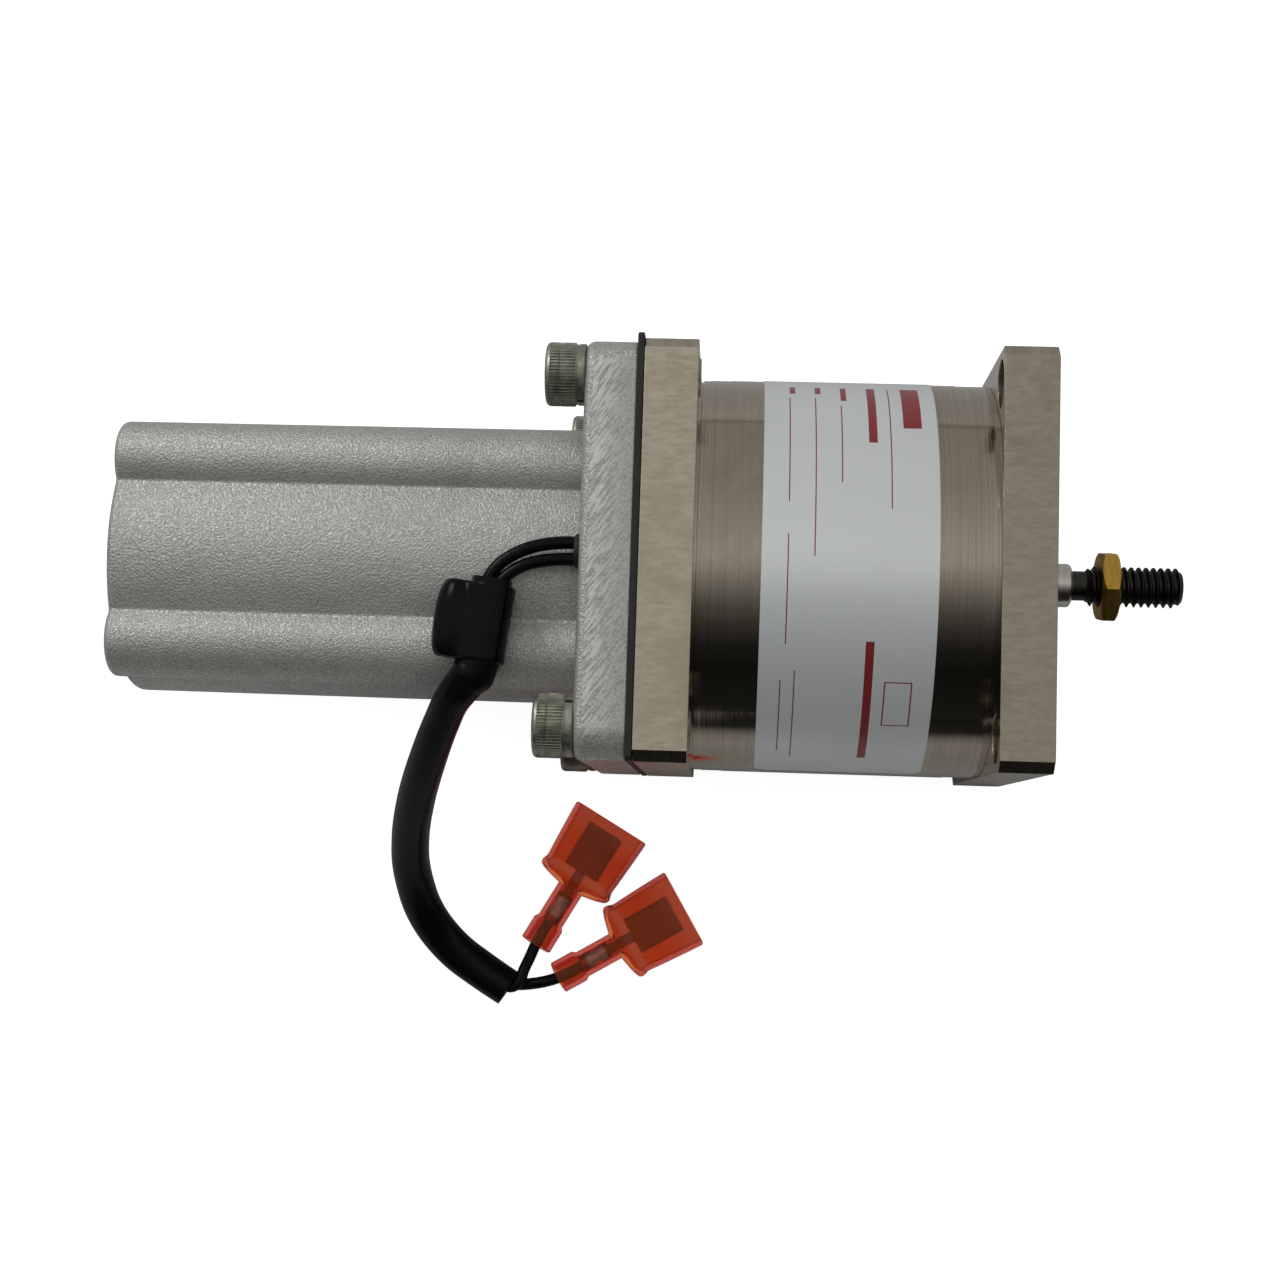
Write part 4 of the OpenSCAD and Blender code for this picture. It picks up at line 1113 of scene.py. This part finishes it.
def make_finishes():
    grain = make_grain_group()
    stain = make_stain_group()
    lines = make_lines_group()
    bar = make_bar_group()
    finishes = {}

    def cast(name, filed):
        finish, tree, shader = new_finish(name, Metallic=0.62)
        coords = object_coords(tree)
        fine = group_of(tree, grain, coords, Scale=2300.0, Spread=0.26)
        soft = group_of(tree, grain, coords, Scale=260.0, Spread=0.3)
        marks = group_of(tree, stain, coords, Scale=42.0, Cover=0.5)
        colour = mixed(tree, fine, (0.37, 0.37, 0.352, 1), (0.66, 0.66, 0.638, 1))
        colour = mixed(tree, calc(tree, "MULTIPLY", soft, 0.2), colour, (0.62, 0.62, 0.60, 1))
        colour = mixed(tree, calc(tree, "MULTIPLY", marks, 0.35), colour, (0.40, 0.40, 0.375, 1))
        rough = spread(tree, fine, 0.0, 1.0, 0.5, 0.34)
        normal = bumped(tree, fine, 0.3 if filed else 0.75, 0.00013)
        if filed:
            turn = node(tree, "ShaderNodeMapping", {"Vector": coords, "Rotation": (0, 0, -0.95)})
            strokes = group_of(tree, lines, turn.outputs[0], Stretch=(300.0, 2100.0, 600.0), Depth=0.055)
            along = axes_of(tree, coords)[0]
            worn = spread(tree, along, X_COVER_FACE, X_COVER_REAR, 0.1, 0.8)
            shown = calc(tree, "MULTIPLY", strokes, worn)
            colour = mixed(tree, 0.3, colour, (0.26, 0.26, 0.25, 1))
            colour = mixed(tree, shown, colour, (0.92, 0.92, 0.91, 1))
            rough = calc(tree, "MULTIPLY", rough, spread(tree, shown, 0.0, 1.0, 1.0, 0.7))
            normal = bumped(tree, shown, 0.15, 0.00006, normal)
        dress(tree, shader, colour, rough, normal)
        finishes[name] = finish

    cast("cast_aluminium", False)
    cast("filed_aluminium", True)

    def ground(name, stretch, rough_low, rough_high, light, dark, bump, front_shade=1.0):
        finish, tree, shader = new_finish(name, Metallic=1.0)
        coords = object_coords(tree)
        cut = group_of(tree, lines, coords, Stretch=stretch, Depth=0.26)
        marks = group_of(tree, stain, coords, Scale=70.0, Cover=0.55)
        spots = group_of(tree, stain, coords, Scale=260.0, Cover=0.35)
        colour = mixed(tree, cut, dark, light)
        colour = mixed(tree, calc(tree, "MULTIPLY", marks, 0.5), colour, dark)
        colour = mixed(tree, calc(tree, "MULTIPLY", spots, 0.4), colour, dark)
        if front_shade != 1.0:
            # darker towards the front flange than at the rear one
            along = axes_of(tree, coords)[0]
            shade = spread(tree, along, X_REAR, X_FRONT, 1.0, front_shade)
            colour = mixed(tree, 1.0, colour, shade, "MULTIPLY")
        rough = spread(tree, calc(tree, "ADD", cut, marks), 0.0, 2.0, rough_low, rough_high)
        dress(tree, shader, colour, rough, bumped(tree, cut, bump, 0.00004))
        finishes[name] = finish

    beige, brown = (0.59, 0.532, 0.442, 1), (0.44, 0.384, 0.307, 1)
    pale, tan = (0.745, 0.68, 0.548, 1), (0.56, 0.50, 0.385, 1)
    ground("ground_steel", (420.0, 1300.0, 1300.0), 0.26, 0.44, pale, tan, 0.12, 0.72)
    ground("bevelled_steel", (900.0, 90.0, 90.0), 0.1, 0.18, beige, brown, 0.1)
    ground("turned_steel", (5200.0, 14.0, 14.0), 0.06, 0.15, beige, brown, 0.14)
    ground("core_steel", (2600.0, 30.0, 30.0), 0.28, 0.42,
           (0.50, 0.50, 0.49, 1), (0.36, 0.36, 0.35, 1), 0.2)
    ground("shaft_steel", (3800.0, 40.0, 40.0), 0.2, 0.34,
           (0.86, 0.83, 0.79, 1), (0.66, 0.63, 0.59, 1), 0.2)
    ground("screw_steel", (700.0, 700.0, 700.0), 0.44, 0.58,
           (0.62, 0.63, 0.53, 1), (0.32, 0.33, 0.27, 1), 0.5)
    ground("black_steel", (700.0, 700.0, 700.0), 0.36, 0.5,
           (0.09, 0.088, 0.08, 1), (0.045, 0.044, 0.04, 1), 0.3)
    ground("brass", (1800.0, 200.0, 200.0), 0.3, 0.45,
           (0.88, 0.56, 0.115, 1), (0.62, 0.38, 0.07, 1), 0.3)
    ground("copper", (2500.0, 20.0, 20.0), 0.25, 0.4,
           (0.75, 0.34, 0.17, 1), (0.52, 0.21, 0.1, 1), 0.3)
    ground("tinned_brass", (800.0, 800.0, 300.0), 0.3, 0.45,
           (0.80, 0.68, 0.52, 1), (0.62, 0.52, 0.38, 1), 0.2)

    def moulded(name, light, dark, rough_low, rough_high, bump, **sockets):
        finish, tree, shader = new_finish(name, **sockets)
        coords = object_coords(tree)
        skin_grain = group_of(tree, grain, coords, Scale=1500.0, Spread=0.3)
        marks = group_of(tree, stain, coords, Scale=90.0, Cover=0.45)
        colour = mixed(tree, marks, dark, light)
        rough = spread(tree, calc(tree, "ADD", skin_grain, marks), 0.0, 2.0, rough_low, rough_high)
        dress(tree, shader, colour, rough, bumped(tree, skin_grain, bump, 0.00005))
        finishes[name] = finish

    moulded("black_rubber", (0.026, 0.026, 0.027, 1), (0.014, 0.014, 0.014, 1), 0.5, 0.72, 0.3)
    moulded("lead_plastic", (0.0042, 0.0045, 0.005, 1), (0.003, 0.0032, 0.0035, 1), 0.22, 0.32, 0.06,
            Specular_IOR_Level=0.14)
    moulded("coil_nylon", (0.66, 0.62, 0.52, 1), (0.56, 0.51, 0.41, 1), 0.4, 0.55, 0.2)
    moulded("coil_tape", (0.60, 0.47, 0.16, 1), (0.50, 0.38, 0.11, 1), 0.32, 0.5, 0.15)
    finishes["red_nylon"] = make_red_nylon(grain, stain)
    finishes["plate_film"] = make_plate_film(grain, stain, bar)
    return finishes


# Floor and light
def make_floor():
    bm = bmesh.new()
    bmesh.ops.create_grid(bm, x_segments=8, y_segments=8, size=1.6)
    bmesh.ops.translate(bm, verts=bm.verts, vec=(-0.07, 0, TABLE_Z))
    mesh = bpy.data.meshes.new("studio_floor")
    bm.to_mesh(mesh)
    bm.free()
    finish, tree, shader = new_finish("studio_paper", Roughness=0.9)
    finish.cycles.emission_sampling = "NONE"
    shader.inputs["Specular IOR Level"].default_value = 0.1
    # seen directly or through the clear hoods, the paper is lit up to a plain white
    path = node(tree, "ShaderNodeLightPath")
    seen = calc(tree, "MAXIMUM", path.outputs["Is Camera Ray"], path.outputs["Is Transmission Ray"])
    bounce = calc(tree, "MULTIPLY", path.outputs["Is Diffuse Ray"], 0.24)
    power = calc(tree, "MULTIPLY_ADD", seen, 0.9, bounce)
    glow = node(tree, "ShaderNodeEmission", {"Color": (1, 1, 1, 1), "Strength": power})
    # seen in the steel only, the paper has a painted dark reflection in front of the body and a painted
    # brightening towards the far side
    place = axes_of(tree, object_coords(tree))
    beside_body = spread(tree, place[0], -0.105, -0.08, 0.0, 0.46)
    dark_reflection_reach = spread(tree, place[1], -0.28, -0.13, 1.0, 0.0)
    near = calc(tree, "SUBTRACT", 0.49, calc(tree, "MULTIPLY", beside_body, dark_reflection_reach))
    # painted light: the reflected paper brightens towards the far side
    mirrored = calc(tree, "ADD", near, spread(tree, place[1], 0.1, 0.6, 0.0, 0.14))
    change = calc(tree, "SUBTRACT", mirrored, 0.52)
    shade = calc(tree, "MULTIPLY_ADD", change, path.outputs["Is Glossy Ray"], 0.52)
    plug(tree, shader.inputs["Base Color"], shade)
    both = node(tree, "ShaderNodeAddShader", {0: shader.outputs[0], 1: glow.outputs[0]})
    tree.links.new(both.outputs[0], tree.nodes["Material Output"].inputs["Surface"])
    mesh.materials.append(finish)
    floor = add_object("studio_floor", mesh)


# brightness by the lean from overhead, in degrees: minus towards the far side, plus towards the near side
ROOM_LEVELS = [
    (-180, 0.3), (-88, 0.3), (-50, 0.33), (-26, 0.41), (-11, 0.47), (-3, 0.46), (11, 0.25),
    (23, 0.12), (33, 0.058), (46, 0.018), (60, 0.009), (90, 0.016), (108, 0.09), (180, 0.3),
]


def make_light():
    world = bpy.data.worlds.new("studio_room")
    bpy.context.scene.world = world
    world.use_nodes = True
    tree = world.node_tree
    back = tree.nodes["Background"]
    way = axes_of(tree, node(tree, "ShaderNodeTexCoord").outputs["Generated"])
    lean = calc(tree, "ARCTAN2", calc(tree, "MULTIPLY", way[1], -1.0), way[2])
    ramp = node(tree, "ShaderNodeValToRGB", {"Fac": spread(tree, lean, -math.pi, math.pi, 0.0, 1.0, False)})
    band = ramp.color_ramp
    while len(band.elements) < len(ROOM_LEVELS):
        band.elements.new(0.5)
    for element, (degrees, level) in zip(band.elements, ROOM_LEVELS):
        element.position = (degrees + 180) / 360
    for element, (degrees, level) in zip(band.elements, ROOM_LEVELS):
        element.color = (level, level * 0.985, level * 0.95, 1)
    path = node(tree, "ShaderNodeLightPath")
    soft = mixed(tree, 0.3, ramp.outputs[0], (0.3, 0.3, 0.295, 1))
    lit = mixed(tree, path.outputs["Is Glossy Ray"], soft, ramp.outputs[0])
    # past the paper's edge the room is as plain and white as the paper
    plug(tree, back.inputs["Color"], mixed(tree, path.outputs["Is Camera Ray"], lit, (1, 1, 1, 1)))
    back.inputs["Strength"].default_value = 1.0

    for name, place, wide, tall, power, shiny in (
        ("side_softbox", (-0.55, 0.5, 0.5), 0.26, 0.3, 1.6, True),
        ("top_panel", (-0.05, 0.06, 0.8), 0.5, 0.4, 1.9, False),
    ):
        data = bpy.data.lights.new(name, "AREA")
        data.shape = "RECTANGLE"
        data.size = wide
        data.size_y = tall
        data.energy = power
        lamp = add_object(name, data)
        aim = (Vector((-0.08, 0, 0)) - Vector(place)).to_track_quat("-Z", "Y")
        lamp.matrix_world = Matrix.Translation(place) @ aim.to_matrix().to_4x4()
        lamp.visible_glossy = shiny
        lamp.visible_transmission = False
    bpy.context.scene.view_settings.view_transform = "Standard"


# Making: camera and cords first
place_camera()
finishes = make_finishes()
line_a = lead_route(-LEAD_LEAN - LEAD_SIDE, START_A, END_A, CONNECTOR_A)
line_b = lead_route(LEAD_SIDE - LEAD_LEAN, START_B, END_B, CONNECTOR_B)
sleeve_line = smooth_route(SLEEVE_ROUTE, 6)
wire_a = make_lead("wire_a", line_a, "lead_wire_a", finishes["lead_plastic"])
wire_b = make_lead("wire_b", line_b, "lead_wire_b", finishes["lead_plastic"])
sleeve = make_sleeve(sleeve_line, finishes["lead_plastic"])
hood_a = make_hood("hood_a", "insulator_a", CONNECTOR_A, finishes["red_nylon"])
hood_b = make_hood("hood_b", "insulator_b", CONNECTOR_B, finishes["red_nylon"])
tab_a = make_terminal("receptacle_a", "terminal_a", CONNECTOR_A, finishes["tinned_brass"])
tab_b = make_terminal("receptacle_b", "terminal_b", CONNECTOR_B, finishes["tinned_brass"])
clip = make_clip(finishes["lead_plastic"])

make_case(finishes["ground_steel"], finishes["turned_steel"], finishes["bevelled_steel"])
make_cover(finishes["cast_aluminium"], finishes["filed_aluminium"])
make_gasket(finishes["black_rubber"])
make_screws(finishes["screw_steel"])
make_washers(finishes["screw_steel"])
make_plate(finishes["plate_film"])
make_shaft(finishes["shaft_steel"])
make_stud(finishes["black_steel"])
make_nut(finishes["brass"])
make_grommet(finishes["black_rubber"])
make_spring(finishes["core_steel"])

# Finishes of the solids that keep their shape
KEPT_NODES = {
    "coil_bobbin": "coil_nylon", "coil_winding": "copper", "coil_wrap": "coil_tape",
    "guide_tube": "brass", "stop_shim": "brass", "front_bushing": "brass",
    "rear_flux_plate": "core_steel", "pole_piece": "core_steel", "spring_seat": "core_steel",
    "plunger": "core_steel", "spring_retainer": "core_steel", "retainer_nut": "core_steel",
    "wiper_seal": "black_rubber", "rest_bumper": "black_rubber",
}
for name, finish in KEPT_NODES.items():
    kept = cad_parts[name]
    kept.data.materials.clear()
    kept.data.materials.append(finishes[finish])

make_floor()
make_light()
